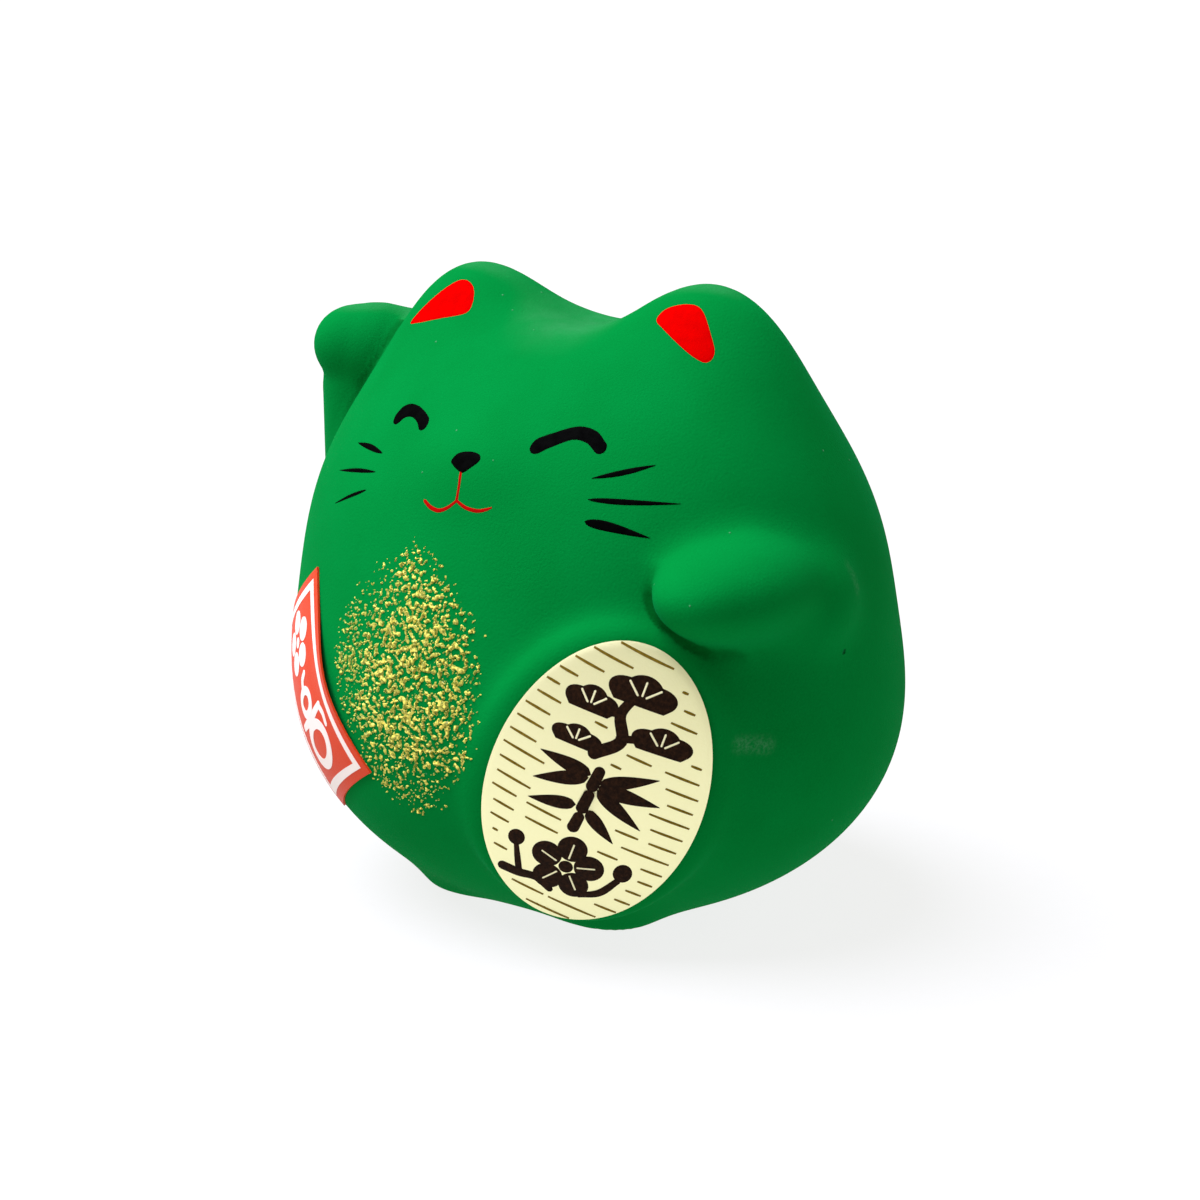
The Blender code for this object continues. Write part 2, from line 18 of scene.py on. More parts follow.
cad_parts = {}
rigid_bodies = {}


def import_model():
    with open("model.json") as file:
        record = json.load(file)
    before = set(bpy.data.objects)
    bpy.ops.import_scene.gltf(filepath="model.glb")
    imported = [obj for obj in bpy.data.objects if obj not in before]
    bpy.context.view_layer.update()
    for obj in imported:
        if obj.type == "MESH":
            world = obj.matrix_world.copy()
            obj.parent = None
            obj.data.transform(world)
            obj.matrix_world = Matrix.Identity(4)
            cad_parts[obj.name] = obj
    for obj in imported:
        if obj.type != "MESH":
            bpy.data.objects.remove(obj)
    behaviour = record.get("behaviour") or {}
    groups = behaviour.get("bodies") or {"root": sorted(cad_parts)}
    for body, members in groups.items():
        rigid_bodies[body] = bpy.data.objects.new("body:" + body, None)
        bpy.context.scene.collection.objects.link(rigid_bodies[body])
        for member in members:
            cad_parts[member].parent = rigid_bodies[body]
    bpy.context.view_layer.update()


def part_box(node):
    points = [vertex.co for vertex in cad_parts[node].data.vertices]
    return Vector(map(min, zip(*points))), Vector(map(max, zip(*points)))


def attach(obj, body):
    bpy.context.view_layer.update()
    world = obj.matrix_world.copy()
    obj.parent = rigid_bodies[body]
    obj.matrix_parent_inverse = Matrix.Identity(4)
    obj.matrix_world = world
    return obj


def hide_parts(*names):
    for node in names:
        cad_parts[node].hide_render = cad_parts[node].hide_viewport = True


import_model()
MM = 0.001

# %% [markdown]
# ## Where the cat stands
#
# The forms below are written round the cat's own middle line, but the packed model stands with
# the middle of its box on the origin. The pellet, which was let down PELLET_BACK behind the
# middle line, shows by how much.

# %% Find the shift from the pellet
PELLET_BACK = 7.3
pellet_low, pellet_high = (np.array(corner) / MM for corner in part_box("sound_pellet"))
pellet_middle = (pellet_low + pellet_high) / 2
SHIFT = np.array((pellet_middle[0], pellet_middle[1] - PELLET_BACK, 0))
print("shift in mm:", SHIFT.round(3))

# %% [markdown]
# ## Camera
#
# The photograph was taken from the cat's left front, a little above, with a long lens. The
# camera looks at a target in the cat's middle, so its place follows from turn, rise and distance.

# %% Place the camera
CAMERA_TURN = math.radians(37.641)
CAMERA_RISE = math.radians(13.647)
CAMERA_DISTANCE = 270.0
CAMERA_LENS = 89.61
NEAR_CLIP = 10.0
TARGET_SIDE = 0.245
TARGET_HEIGHT = 26.343


def towards(turn, rise):
    """Unit direction from the cat to something seen at that turn from its front and that rise."""
    return np.array((math.sin(turn) * math.cos(rise), -math.cos(turn) * math.cos(rise),
                     math.sin(rise)))


def aimed(made, place, target):
    """Put an object at a place in millimetres with its -Z axis towards a target."""
    made.location = Vector(place) * MM
    made.rotation_euler = Vector(target - place).to_track_quat("-Z", "Y").to_euler()
    bpy.context.scene.collection.objects.link(made)
    return made


target = SHIFT + (TARGET_SIDE * math.cos(CAMERA_TURN), TARGET_SIDE * math.sin(CAMERA_TURN),
                  TARGET_HEIGHT)
camera_data = bpy.data.cameras.new("camera")
camera_data.lens = CAMERA_LENS
camera_data.clip_start = NEAR_CLIP * MM
camera_place = target + towards(CAMERA_TURN, CAMERA_RISE) * CAMERA_DISTANCE
bpy.context.scene.camera = aimed(bpy.data.objects.new("camera", camera_data), camera_place, target)
print("camera at", camera_place.round(1))

# %% [markdown]
# ## Light
#
# The picture has the even light of a product table: one very soft, cool lamp high on the cat's
# right, a faint one behind its left, and a warm room that fills the shadows. The lamps are suns,
# so the table is lit evenly to its end. The Standard view transform leaves the colours alone.

# %% Set up soft studio light
LAMPS = {
    # name: (turn, rise and softness in degrees, strength, colour)
    "key": (-56, 63, 50, 6.6, (1.0, 1.0, 1.16)),
    "rim": (150, 20, 40, 0.8, (1.0, 1.0, 1.0)),
}
LAMP_DISTANCE = 400.0
ROOM_LIGHT = 0.20
ROOM_COLOUR = (1.0, 0.97, 0.70, 1)

bpy.context.scene.view_settings.view_transform = "Standard"
for name, (turn, rise, softness, strength, colour) in LAMPS.items():
    lamp_data = bpy.data.lights.new(name, "SUN")
    lamp_data.angle = math.radians(softness)
    lamp_data.energy = strength
    lamp_data.color = colour
    place = target + towards(math.radians(turn), math.radians(rise)) * LAMP_DISTANCE
    aimed(bpy.data.objects.new(name, lamp_data), place, target)
room = bpy.data.worlds.new("room")
room.use_nodes = True
room.node_tree.nodes["Background"].inputs["Color"].default_value = ROOM_COLOUR
room.node_tree.nodes["Background"].inputs["Strength"].default_value = ROOM_LIGHT
bpy.context.scene.world = room
print("lamps:", list(LAMPS))

# %% [markdown]
# ## Writing shaders as arithmetic
#
# A mask such as `1 - smooth * 2` is easier to read as arithmetic than as nodes placed by hand.
# Wire wraps one output socket and turns each operator into a Math node. Finish is one material:
# its constants go straight on the Principled shader, and its `add` makes any other node, first
# its settings and then its sockets.

# %% Wire and Finish
class Wire:
    """The output of a shader node, ready for Python's own arithmetic."""

    def __init__(self, socket):
        self.socket = socket

    def maths(self, operation, first, second):
        tree = self.socket.id_data
        node = tree.nodes.new("ShaderNodeMath")
        node.operation = operation
        for slot, value in zip(node.inputs, (first, second)):
            plug(slot, value)
        return Wire(node.outputs[0])

    def __add__(self, other):
        return self.maths("ADD", self, other)

    def __sub__(self, other):
        return self.maths("SUBTRACT", self, other)

    def __rsub__(self, other):
        return self.maths("SUBTRACT", other, self)

    def __mul__(self, other):
        return self.maths("MULTIPLY", self, other)

    def __gt__(self, other):
        return self.maths("GREATER_THAN", self, other)

    __radd__ = __add__
    __rmul__ = __mul__


def plug(socket, value):
    """Link a wire to a socket, or write a plain value on it."""
    if isinstance(value, Wire):
        socket.id_data.links.new(value.socket, socket)
    elif isinstance(value, tuple) and len(value) == 3 and socket.type == "RGBA":
        socket.default_value = (*value, 1)
    else:
        socket.default_value = value


class Finish:
    """A material with its Principled shader, whose constants are given by socket name."""

    def __init__(self, name, **constants):
        self.material = bpy.data.materials.new(name)
        self.material.use_nodes = True
        self.tree = self.material.node_tree
        self.shader = self.tree.nodes["Principled BSDF"]
        for socket, value in constants.items():
            plug(self.shader.inputs[socket.replace("_", " ")], value)

    def add(self, kind, settings=None, inputs=None, output=0):
        node = self.tree.nodes.new("ShaderNode" + kind)
        for name, value in (settings or {}).items():
            setattr(node, name, value)
        for name, value in (inputs or {}).items():
            plug(node.inputs[name], value)
        return Wire(node.outputs[output])

    def place(self):
        """The surface's own place in millimetres, the same in every pose and view."""
        own = self.add("TexCoord", output="Object")
        return self.add("VectorMath", {"operation": "SCALE"}, {0: own, "Scale": 1 / MM})

    def noise(self, place, scale, detail=2.0, roughness=0.5):
        inputs = {"Vector": place, "Scale": scale, "Detail": detail, "Roughness": roughness}
        return self.add("TexNoise", inputs=inputs)

    def along(self, place, axis):
        return self.add("SeparateXYZ", inputs={"Vector": place}, output=axis)

    def ease(self, value, low, high):
        """0 below low, 1 above high, and a smooth step between."""
        inputs = {"Value": value, "From Min": low, "From Max": high}
        return self.add("MapRange", {"interpolation_type": "SMOOTHSTEP"}, inputs)

    def blend(self, factor, first, second):
        """One colour over another."""
        return self.add("Mix", {"data_type": "RGBA"}, {0: factor, 6: first, 7: second}, output=2)

    def bump(self, height, depth_mm, under=None):
        inputs = {"Height": height, "Strength": 1.0, "Distance": depth_mm * MM}
        if under:
            inputs["Normal"] = under
        return self.add("Bump", inputs=inputs)

    def streak(self, place, start, end, radius, soft):
        """1 within radius of a line between two points of the cat, easing to 0 over soft."""
        start, run = Vector(start) + Vector(SHIFT), Vector(end) - Vector(start)
        off = self.add("VectorMath", {"operation": "SUBTRACT"}, {0: place, 1: tuple(start)})
        share = self.add("VectorMath", {"operation": "DOT_PRODUCT"},
                         {0: off, 1: tuple(run / run.length_squared)}, output="Value")
        share = self.add("Clamp", inputs={"Value": share})
        nearest = self.add("VectorMath", {"operation": "SCALE"}, {0: tuple(run), "Scale": share})
        apart = self.add("VectorMath", {"operation": "DISTANCE"}, {0: off, 1: nearest},
                         output="Value")
        return 1 - self.ease(apart, radius, radius + soft)

    def wear(self, colour=None, roughness=None, normal=None):
        """Lead the varying wires to the shader."""
        sockets = {"Base Color": colour, "Roughness": roughness, "Normal": normal}
        for name, value in sockets.items():
            if value is not None:
                plug(self.shader.inputs[name], value)
        return self.material


print("Wire:", Wire.__doc__)
print("Finish:", Finish.__doc__)

# %% [markdown]
# ## Floor
#
# A light table: a pale frosted sheet that glows a little by itself, which keeps the cat's shadow
# faint and the picture white. It reaches past the picture's edge, and a very faint noise keeps
# the white from looking computed. `settle` makes an object of a bmesh, here and for every piece.

# %% Lay the floor
TABLE_RADIUS = 3000.0
TABLE_SIDES = 128
TABLE_GLOW = 0.83
TABLE_WHITE = (0.09, 0.09, 0.09)
TABLE_GREY = (0.08, 0.08, 0.08)


def frosted_sheet():
    finish = Finish("pale_table", Roughness=0.9, Emission_Color=(1.0, 1.0, 1.0),
                    Emission_Strength=TABLE_GLOW)
    frost = finish.noise(finish.place(), 0.6)
    return finish.wear(finish.blend(frost, TABLE_WHITE, TABLE_GREY))


def settle(name, bm, finishes):
    """Turn a bmesh into an object of the scene that wears these finishes."""
    mesh = bpy.data.meshes.new(name)
    bm.to_mesh(mesh)
    bm.free()
    for finish in finishes:
        mesh.materials.append(finish)
    made = bpy.data.objects.new(name, mesh)
    bpy.context.scene.collection.objects.link(made)
    return made


table = bmesh.new()
bmesh.ops.create_circle(table, cap_ends=True, segments=TABLE_SIDES, radius=TABLE_RADIUS * MM)
settle("floor", table, [frosted_sheet()])
print("table radius in mm:", TABLE_RADIUS)

# %% [markdown]
# ## The cat's form
#
# A clay cat has no straight edges, so boxes and cylinders are a poor start. Its skin is written
# as one signed distance: each form says how far a point lies from it, `join` fills the gap
# between two forms smoothly, and `common` keeps what lies in both. The sizes are those of the
# CAD model, apart from a fuller raised wrist, deeper creases and a slightly lower plaque.

# %% Distances to round forms
def length(vectors):
    return np.sqrt((vectors * vectors).sum(-1))


def ellipsoid(points, centre, half_sizes):
    offsets = points - np.array(centre)
    half_sizes = np.array(half_sizes)
    scaled = length(offsets / half_sizes)
    slope_there = length(offsets / half_sizes ** 2)
    return scaled * (scaled - 1) / np.maximum(slope_there, 1e-9)


def limb(points, start, end):
    """Distance to a tapered limb between two joints, each given as (x, y, z, radius)."""
    start, end = np.array(start), np.array(end)
    run = (end - start)[:3]
    along = np.clip((points - start[:3]) @ run / (run @ run), 0, 1)
    radius = start[3] + (end[3] - start[3]) * along
    return length(points - start[:3] - along[..., None] * run) - radius


def join(first, second, reach):
    near = np.maximum(reach - np.abs(first - second), 0) / reach
    return np.minimum(first, second) - near ** 3 * reach / 6


def common(first, second, reach):
    return -join(-first, -second, reach)


print("two balls of radius 1 joined, half way:", join(0.5, 0.5, 1.0).round(3))

# %% [markdown]
# ## Sheets in front of the cat
#
# A painted mark is drawn flat and then thrown on the skin, as a slide projector would. A Chart
# is such a flat sheet: `across` and `up` lie in it and `outward` leaves the cat.

# %% Charts
BELLY_HEIGHT = 17.1
BELLY_HALF_DEPTH = 24.5
HEAD_FORWARD = 1.1
HEAD_HEIGHT = 33.2
MUZZLE_HEIGHT = 39.2


class Chart:
    """A flat sheet in front of the cat, turned, pitched and tilted by angles in degrees.

    Its middle lies out from the cat's middle line towards turn, and then side to the right of
    someone who looks at it.
    """

    def __init__(self, turn, pitch=0.0, tilt=0.0, out=0.0, side=0.0, height=0.0):
        turn, pitch, tilt = (math.radians(angle) for angle in (turn, pitch, tilt))
        self.outward = towards(turn, pitch)
        level = np.array((math.cos(turn), math.sin(turn), 0))
        steep = np.cross(self.outward, level)
        self.up = steep * math.cos(tilt) + level * math.sin(tilt)
        self.across = level * math.cos(tilt) - steep * math.sin(tilt)
        self.middle = level * side + (math.sin(turn) * out, -math.cos(turn) * out, height)

    def point(self, sheet):
        sheet = np.asarray(sheet, dtype=float)
        return self.middle + sheet[..., :1] * self.across + sheet[..., 1:] * self.up


FACE = Chart(0, height=MUZZLE_HEIGHT)
BREAST = Chart(0, height=BELLY_HEIGHT)
EAR_SLOPE = Chart(0, 45, out=5.3, height=51.7)
PLAQUE = Chart(29.6, -8.5, 20.3, out=BELLY_HALF_DEPTH + 1.8, side=3.5, height=16.4)
FLANK = Chart(-39, 0, -36, height=BELLY_HEIGHT + 2.7)
print("plaque's middle:", PLAQUE.middle.round(1))

# %% [markdown]
# ## Body, head and feet
#
# Belly and head are two ellipsoids that melt into one another, and smaller ones are laid on
# them: muzzle, ears, feet, seat and tail. The blends are wide where the clay was smoothed by
# thumb. One more ellipsoid is taken away again, which leaves the dent between the ears.

# %% Round forms
BODY_BLEND = 24.5
DENT_BLEND = 2.0
BELLY = ((0, 0, BELLY_HEIGHT), (27.5, BELLY_HALF_DEPTH, 18.7))
HEAD = ((0, -HEAD_FORWARD, HEAD_HEIGHT), (26.5, 18.0, 17.6))
DENT = ((1.0, -0.5, 57.2), (6.0, 12.0, 5.3))
ON_HEAD = (
    # centre, half sizes and reach of the blend of the muzzle and the two ears
    ((0, -15.2, MUZZLE_HEIGHT), (5.2, 3.3, 3.7), 5.0),
    ((-12.9, -0.5, 44.2), (7.7, 4.8, 11.3), 15.5),
    ((12.9, -0.5, 44.2), (7.7, 4.8, 11.3), 15.5),
)
ON_BELLY = (
    # the same of the two feet, the seat and the tail
    ((-7.9, -8.9, 3.4), (4.0, 3.1, 4.9), 6.0),
    ((7.9, -8.9, 3.4), (4.0, 3.1, 4.9), 6.0),
    ((0, 1.1, 6.6), (12.2, 12.3, 7.0), 6.0),
    ((0, 22.6, 9.5), (4.6, 4.0, 5.0), 3.0),
)


def torso(points):
    return join(ellipsoid(points, *BELLY), ellipsoid(points, *HEAD), BODY_BLEND)


def lay_on(points, form, rounds):
    for centre, half_sizes, reach in rounds:
        form = join(form, ellipsoid(points, centre, half_sizes), reach)
    return form


def limbless(points):
    head = common(lay_on(points, torso(points), ON_HEAD), -ellipsoid(points, *DENT), DENT_BLEND)
    return lay_on(points, head, ON_BELLY)


print("height of the dent in mm:", round(DENT[0][2] - DENT[1][2], 1))

# %% [markdown]
# ## Arms and plaque
#
# An arm is a chain of tapered limbs. The raised one is bent at the wrist, with a narrow blend
# there, because the mould left a crease. The resting one has a forearm laid over it. The plaque
# under the gold card is an oval that is cut from a wide ball.

# %% Arms and plaque
RAISED_ARM = ((-22.0, 2.5, 22.5, 6.2), (-25.3, -0.3, 36.0, 5.5), (-25.7, -0.7, 43.4, 5.0))
RAISED_PAW = ((-26.8, -2.8, 47.5, 3.5), (-25.0, -1.6, 47.0, 4.15), (-20.5, 1.2, 46.4, 4.3))
PAW_BLEND = 2.0
WRIST_BLEND = 1.1
RESTING_ARM = ((21.0, -13.2, 29.6, 2.5), (21.5, -12.7, 32.6, 3.2), (23.7, -10.8, 32.8, 3.8),
               (25.2, -5.1, 31.2, 4.7))
FOREARM = ((23.7, -11.9, 32.95), (6.0, 8.4, 4.15))
RIDGE_BLEND = 1.5
FOREARM_BLEND = 3.2
PLAQUE_HALF = (10.9, 14.3)
PLAQUE_BALL = 42.0
PLAQUE_DEPTH = 14.0
PLAQUE_RIM_BLEND = 2.8
PLAQUE_BACK_BLEND = 1.0


def chain(points, joints):
    return [limb(points, start, end) for start, end in zip(joints, joints[1:])]


def raised_arm(points):
    shoulder, wrist = chain(points, RAISED_ARM)
    paw = join(*chain(points, RAISED_PAW), PAW_BLEND)
    return join(np.minimum(shoulder, wrist), paw, WRIST_BLEND)


def resting_arm(points):
    paw, ridge, upper = chain(points, RESTING_ARM)
    arm = join(join(paw, ridge, RIDGE_BLEND), upper, RIDGE_BLEND)
    return join(arm, ellipsoid(points, *FOREARM), FOREARM_BLEND)


def plaque(points):
    offsets = points - PLAQUE.middle
    sheet = np.stack((offsets @ PLAQUE.across, offsets @ PLAQUE.up), -1)
    ball = length(offsets + PLAQUE.outward * PLAQUE_BALL) - PLAQUE_BALL
    front = common(ellipsoid(sheet, (0, 0), PLAQUE_HALF), ball, PLAQUE_RIM_BLEND)
    return common(front, -(offsets @ PLAQUE.outward) - PLAQUE_DEPTH, PLAQUE_BACK_BLEND)


print("joints:", len(RAISED_ARM) + len(RAISED_PAW) + len(RESTING_ARM))

# %% [markdown]
# ## Skin and hollow
#
# All of this joins into the skin. The resting arm has two blends: a narrow one where the mould
# left a crease under the paw, and a wide one where a thumb smoothed the rest. The hollow and the
# sound slot are taken away in the same way, which leaves the slot's lips soft, as where wet clay
# was wiped with a finger.

# %% The whole clay
SHOULDER_BLEND = 1.2
PLAQUE_BLEND = 2.3
PAW_CREASE = 0.4
ARM_BLEND = 3.2
PAW_SIDE = 22.5
PAW_TOP = 32.5
CREASE_FADE = 3.0
BASE_ROUNDING = 1.2
WALL = 3.2
FLOOR = 3.0
SLOT_LENGTH = 15.0
SLOT_WIDTH = 5.0
SLOT_CORNER = 1.0
SLOT_SOFTNESS = 0.9
SLOT_TOP = 8.0


def armless(points):
    """Everything but the resting arm, which the gold card slips under."""
    form = join(limbless(points), raised_arm(points), SHOULDER_BLEND)
    return join(form, plaque(points), PLAQUE_BLEND)


def skin(points):
    beyond = np.maximum(points[..., 0] - PAW_SIDE, points[..., 2] - PAW_TOP)
    thumbed = np.clip(beyond / CREASE_FADE, 0, 1)
    reach = PAW_CREASE + (ARM_BLEND - PAW_CREASE) * thumbed
    form = join(armless(points), resting_arm(points), reach)
    return common(form, -points[..., 2], BASE_ROUNDING)


def hollow(points):
    return common(torso(points) + WALL, FLOOR - points[..., 2], BASE_ROUNDING)


def sound_slot(points):
    """An upright shaft with round corners."""
    beyond = np.abs(points[..., :2]) - (SLOT_LENGTH / 2, SLOT_WIDTH / 2) + SLOT_CORNER
    sides = length(np.maximum(beyond, 0)) + np.minimum(beyond.max(-1), 0) - SLOT_CORNER
    return np.maximum(sides, points[..., 2] - SLOT_TOP)


def clay(points):
    walls = common(skin(points), -hollow(points), SLOT_SOFTNESS)
    return common(walls, -sound_slot(points), SLOT_SOFTNESS)


print("depth of the head's middle under the skin:",
      skin(np.array([(0, -HEAD_FORWARD, HEAD_HEIGHT)])).round(1))

# %% [markdown]
# ## From formula to surface
#
# `cast` walks points along a direction until they touch the form, in steps a little shorter than
# the distance that is left. `slope` feels the distance on all sides and so finds the outward
# direction.

# %% Cast points on the skin
FAR = 60.0
STEPS = 120
CAUTION = 0.8
CLOSE = 0.0005
LOST = 90.0


def cast(starts, direction, form):
    """Walk each start along its direction until it meets the form."""
    directions = np.broadcast_to(direction, starts.shape)
    travelled = np.zeros(len(starts))
    walking = np.arange(len(starts))
    for _ in range(STEPS):
        points = starts[walking] + travelled[walking, None] * directions[walking]
        left = form(points)
        travelled[walking] = np.minimum(travelled[walking] + left * CAUTION, LOST)
        walking = walking[(np.abs(left) > CLOSE) & (travelled[walking] < LOST)]
        if not len(walking):
            break
    return starts + travelled[:, None] * directions


def slope(points, form, step=0.05):
    """Unit direction in which the form's distance grows."""
    shifts = np.eye(3) * step
    gradient = np.stack([form(points + shift) - form(points - shift) for shift in shifts], -1)
    return gradient / length(gradient)[:, None]


def on_skin(chart, sheet, form=skin):
    """Points of the skin behind points of a chart, and the skin's outward directions there."""
    starts = chart.point(sheet)
    starts = starts + chart.outward * (FAR - (starts @ chart.outward)[:, None])
    points = cast(starts, -chart.outward, form)
    return points, slope(points, form)


print("crown of the head in mm:", on_skin(Chart(0, 90), [(0, 0)])[0].round(2))

# %% [markdown]
# ## Making a piece
#
# Every piece is a mesh in the cat's millimetres that is shifted to where the packed model
# stands. It rides on the CAD body and says which solid it replaces. `film` lays a coat on the
# skin, and `net` meshes a whole form, also where a limb leaves an undercut that nothing cast from
# one side could reach. At the end the net's points slip along the slope until they lie on the
# surface.

# %% Mesh helpers
SHARP = math.radians(50)
THIN = 0.02
SLIPS = 2


def add_piece(name, bm, finishes, node=None, body="body"):
    """Turn a bmesh in the cat's millimetres into a piece of the model."""
    bmesh.ops.translate(bm, vec=SHIFT, verts=bm.verts)
    bmesh.ops.scale(bm, vec=(MM, MM, MM), verts=bm.verts)
    piece = settle(name, bm, finishes)
    piece.data.shade_smooth()
    piece.data.set_sharp_from_angle(angle=SHARP)
    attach(piece, body)
    if node:
        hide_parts(node)


def add_print(name, bm, finish, node=None):
    """A piece of paint or print, whose films are first turned the right side out."""
    bmesh.ops.recalc_face_normals(bm, faces=bm.faces)
    add_piece(name, bm, [finish], node)


def film(bm, chart, sheet, faces, over, under=-0.05, form=skin):
    """Add a closed film on a form over a flat mesh, between two heights above the form."""
    points, outward = on_skin(chart, sheet, form)
    over = np.broadcast_to(over, len(points))
    under = np.minimum(under, over - THIN)
    top = [bm.verts.new(p) for p in points + outward * over[:, None]]
    bottom = [bm.verts.new(p) for p in points + outward * under[:, None]]
    edges = set()
    for face in faces:
        bm.faces.new([top[i] for i in face])
        bm.faces.new([bottom[i] for i in reversed(face)])
        edges.update(zip(face, face[1:] + face[:1]))
    for here, there in sorted(edges):
        if (there, here) not in edges:
            bm.faces.new((top[there], top[here], bottom[here], bottom[there]))


def net(form, low, high, step):
    """Mesh of a form by surface nets: one point in each grid cell that the surface crosses."""
    nodes = [np.arange(start, end + step, step) for start, end in zip(low, high)]
    grid = np.stack(np.meshgrid(*nodes, indexing="ij"), -1)
    value = form(grid)
    inside = value < 0
    quads = []
    crossings = []
    for axis in range(3):
        beyond = np.roll(value, -1, axis)
        cut = inside != (beyond < 0)
        starts = np.argwhere(cut)
        crossing = grid[cut]
        crossing[:, axis] += step * value[cut] / (value[cut] - beyond[cut])
        one, other = np.eye(3, dtype=int)[[(axis + 1) % 3, (axis + 2) % 3]]
        ring = [starts - back for back in (0, one, one + other, other)]
        quad = np.stack([np.ravel_multi_index(cells.T, inside.shape) for cells in ring], -1)
        quad[~inside[cut]] = quad[~inside[cut], ::-1]
        quads.append(quad)
        crossings.append(crossing)
    cells, faces = np.unique(np.concatenate(quads), return_inverse=True)
    faces = faces.reshape(-1, 4)
    sums = [np.bincount(faces.ravel(), np.repeat(column, 4)) for column in
            np.concatenate(crossings).T]
    points = np.stack(sums, -1) / np.bincount(faces.ravel())[:, None]
    for _ in range(SLIPS):
        points = points - form(points)[:, None] * slope(points, form)
    return points, faces


print("sharp edges in degrees from:", round(math.degrees(SHARP)))

# %% [markdown]
# ## Green paint and bare clay
#
# The paint is a matt, chalky emulsion: almost no gloss, a fine tooth, pin-head specks and two
# scuffs. The crown is paler, partly from dust and partly as a painted highlight on the faces that
# look up. The creases get painted shade: Pointiness, which is low where the surface is hollowed,
# finds them, and the fold under the resting paw gets its painted shade as a streak. A dark spot is
# painted shade inside a pinhole. Inside and in the slot the clay is bare and sandy brown. Its
# colour, roughness and height follow one noise, and `grained` makes every finish of that simple
# kind.

# %% Finishes of the body
GREEN = (0.0003, 0.182, 0.0300)
DEEP_GREEN = (0.0002, 0.162, 0.0245)
# painted shade for the creases and for the fold under the resting paw
CREASE_SHADE = (0.0001, 0.060, 0.0060)
# painted shade inside the pinhole
PINHOLE_SHADE = (0.002, 0.03, 0.01)
# pale dust for the specks and scuffs, and on the crown also a painted highlight
DUST_AND_SHEEN = (0.110, 0.300, 0.170)
CREASED_TO_EVEN = (0.46, 0.497)
CROWN_HEIGHTS = (42.0, 50.0)
SLOPING_TO_LEVEL = (0.84, 1.0)
SPECK_RADII = (0.03, 0.07)
SPECK_CHANCE = 0.86
SCUFFS = (
    # start and end of the smear in the cat's mm, softness, strength
    ((29.3, -3.1, 34.4), (29.5, -2.5, 32.2), 0.9, 0.22),
    ((25.0, -13.4, 20.4), (26.2, -11.0, 20.0), 1.1, 0.36),
)
# points along the fold under the resting paw, where painted shade is laid
PAW_FOLD = ((19.3, -16.8, 31.7), (20.3, -16.8, 30.4), (21.7, -16.2, 29.2), (22.7, -15.1, 28.4))
PINHOLE = ((28.8, -3.7, 27.0), (28.8, -3.7, 26.9))


# Paler where the faces look up high on the head: partly dust and partly a painted highlight.
def crown_dust_and_sheen(finish, place):
    facing_up = finish.along(finish.add("TexCoord", output="Normal"), "Z")
    high = finish.ease(finish.along(place, "Z"), *CROWN_HEIGHTS)
    return finish.ease(facing_up, *SLOPING_TO_LEVEL) * high * finish.noise(place, 0.5, 5.0, 0.6)


def pin_heads(finish, place):
    """Specks in the middle of a few cells: those whose random colour is high enough."""
    cells = {"Vector": place, "Scale": 0.55, "Randomness": 1.0}
    apart = finish.add("TexVoronoi", inputs=cells, output="Distance")
    random = finish.add("TexVoronoi", inputs=cells, output="Color")
    chance = finish.add("SeparateColor", inputs={"Color": random}, output="Red")
    return (1 - finish.ease(apart, *SPECK_RADII)) * (chance > SPECK_CHANCE)


def painted_clay():
    finish = Finish("painted_clay", Specular_IOR_Level=0.006, Sheen_Weight=0.04,
                    Sheen_Roughness=0.35, Sheen_Tint=(0.05, 1.0, 0.55))
    place = finish.place()
    cloudy = finish.ease(finish.noise(place, 0.13, 4.0), 0.3, 0.7)
    tooth = finish.noise(place, 4.5, 4.0, 0.6)
    colour = finish.blend(cloudy * 0.6 + tooth * 0.4, DEEP_GREEN, GREEN)
    # Painted shade: darker in the creases, where Pointiness is low.
    bent = finish.add("NewGeometry", output="Pointiness")
    colour = finish.blend((1 - finish.ease(bent, *CREASED_TO_EVEN)) * 0.8, colour, CREASE_SHADE)
    # Dust on the crown, with a painted highlight on the faces that look up.
    colour = finish.blend(crown_dust_and_sheen(finish, place) * 0.25, colour, DUST_AND_SHEEN)
    speck = pin_heads(finish, place)
    colour = finish.blend(speck * 0.5, colour, DUST_AND_SHEEN)
    patchy = finish.ease(finish.noise(place, 3.5, 5.0, 0.7), 0.35, 0.70)
    for start, end, soft, strength in SCUFFS:
        scuff = finish.streak(place, start, end, 0.1, soft) * patchy
        colour = finish.blend(scuff * strength, colour, DUST_AND_SHEEN)
    # Painted shade along the fold under the resting paw.
    for start, end in zip(PAW_FOLD, PAW_FOLD[1:]):
        fold = finish.streak(place, start, end, 0.05, 0.32) * tooth
        colour = finish.blend(fold, colour, CREASE_SHADE)
    # Painted shade inside the pinhole, which the bump also dents.
    hole = finish.streak(place, *PINHOLE, 0.12, 0.2)
    colour = finish.blend(hole * 0.85, colour, PINHOLE_SHADE)
    relief = finish.bump(speck - hole * 4.0, 0.05, finish.bump(tooth, 0.045))
    return finish.wear(colour, 0.78 + tooth * 0.15, relief)


def grained(name, gloss, grain, low, high, matt, depth, contrast=None):
    """A finish with one noise of a scale and detail, and its least roughness and what it adds."""
    finish = Finish(name, Specular_IOR_Level=gloss)
    spread = finish.noise(finish.place(), *grain)
    share = finish.ease(spread, *contrast) if contrast else spread
    least, added = matt
    relief = finish.bump(spread, depth)
    return finish.wear(finish.blend(share, low, high), least + spread * added, relief)


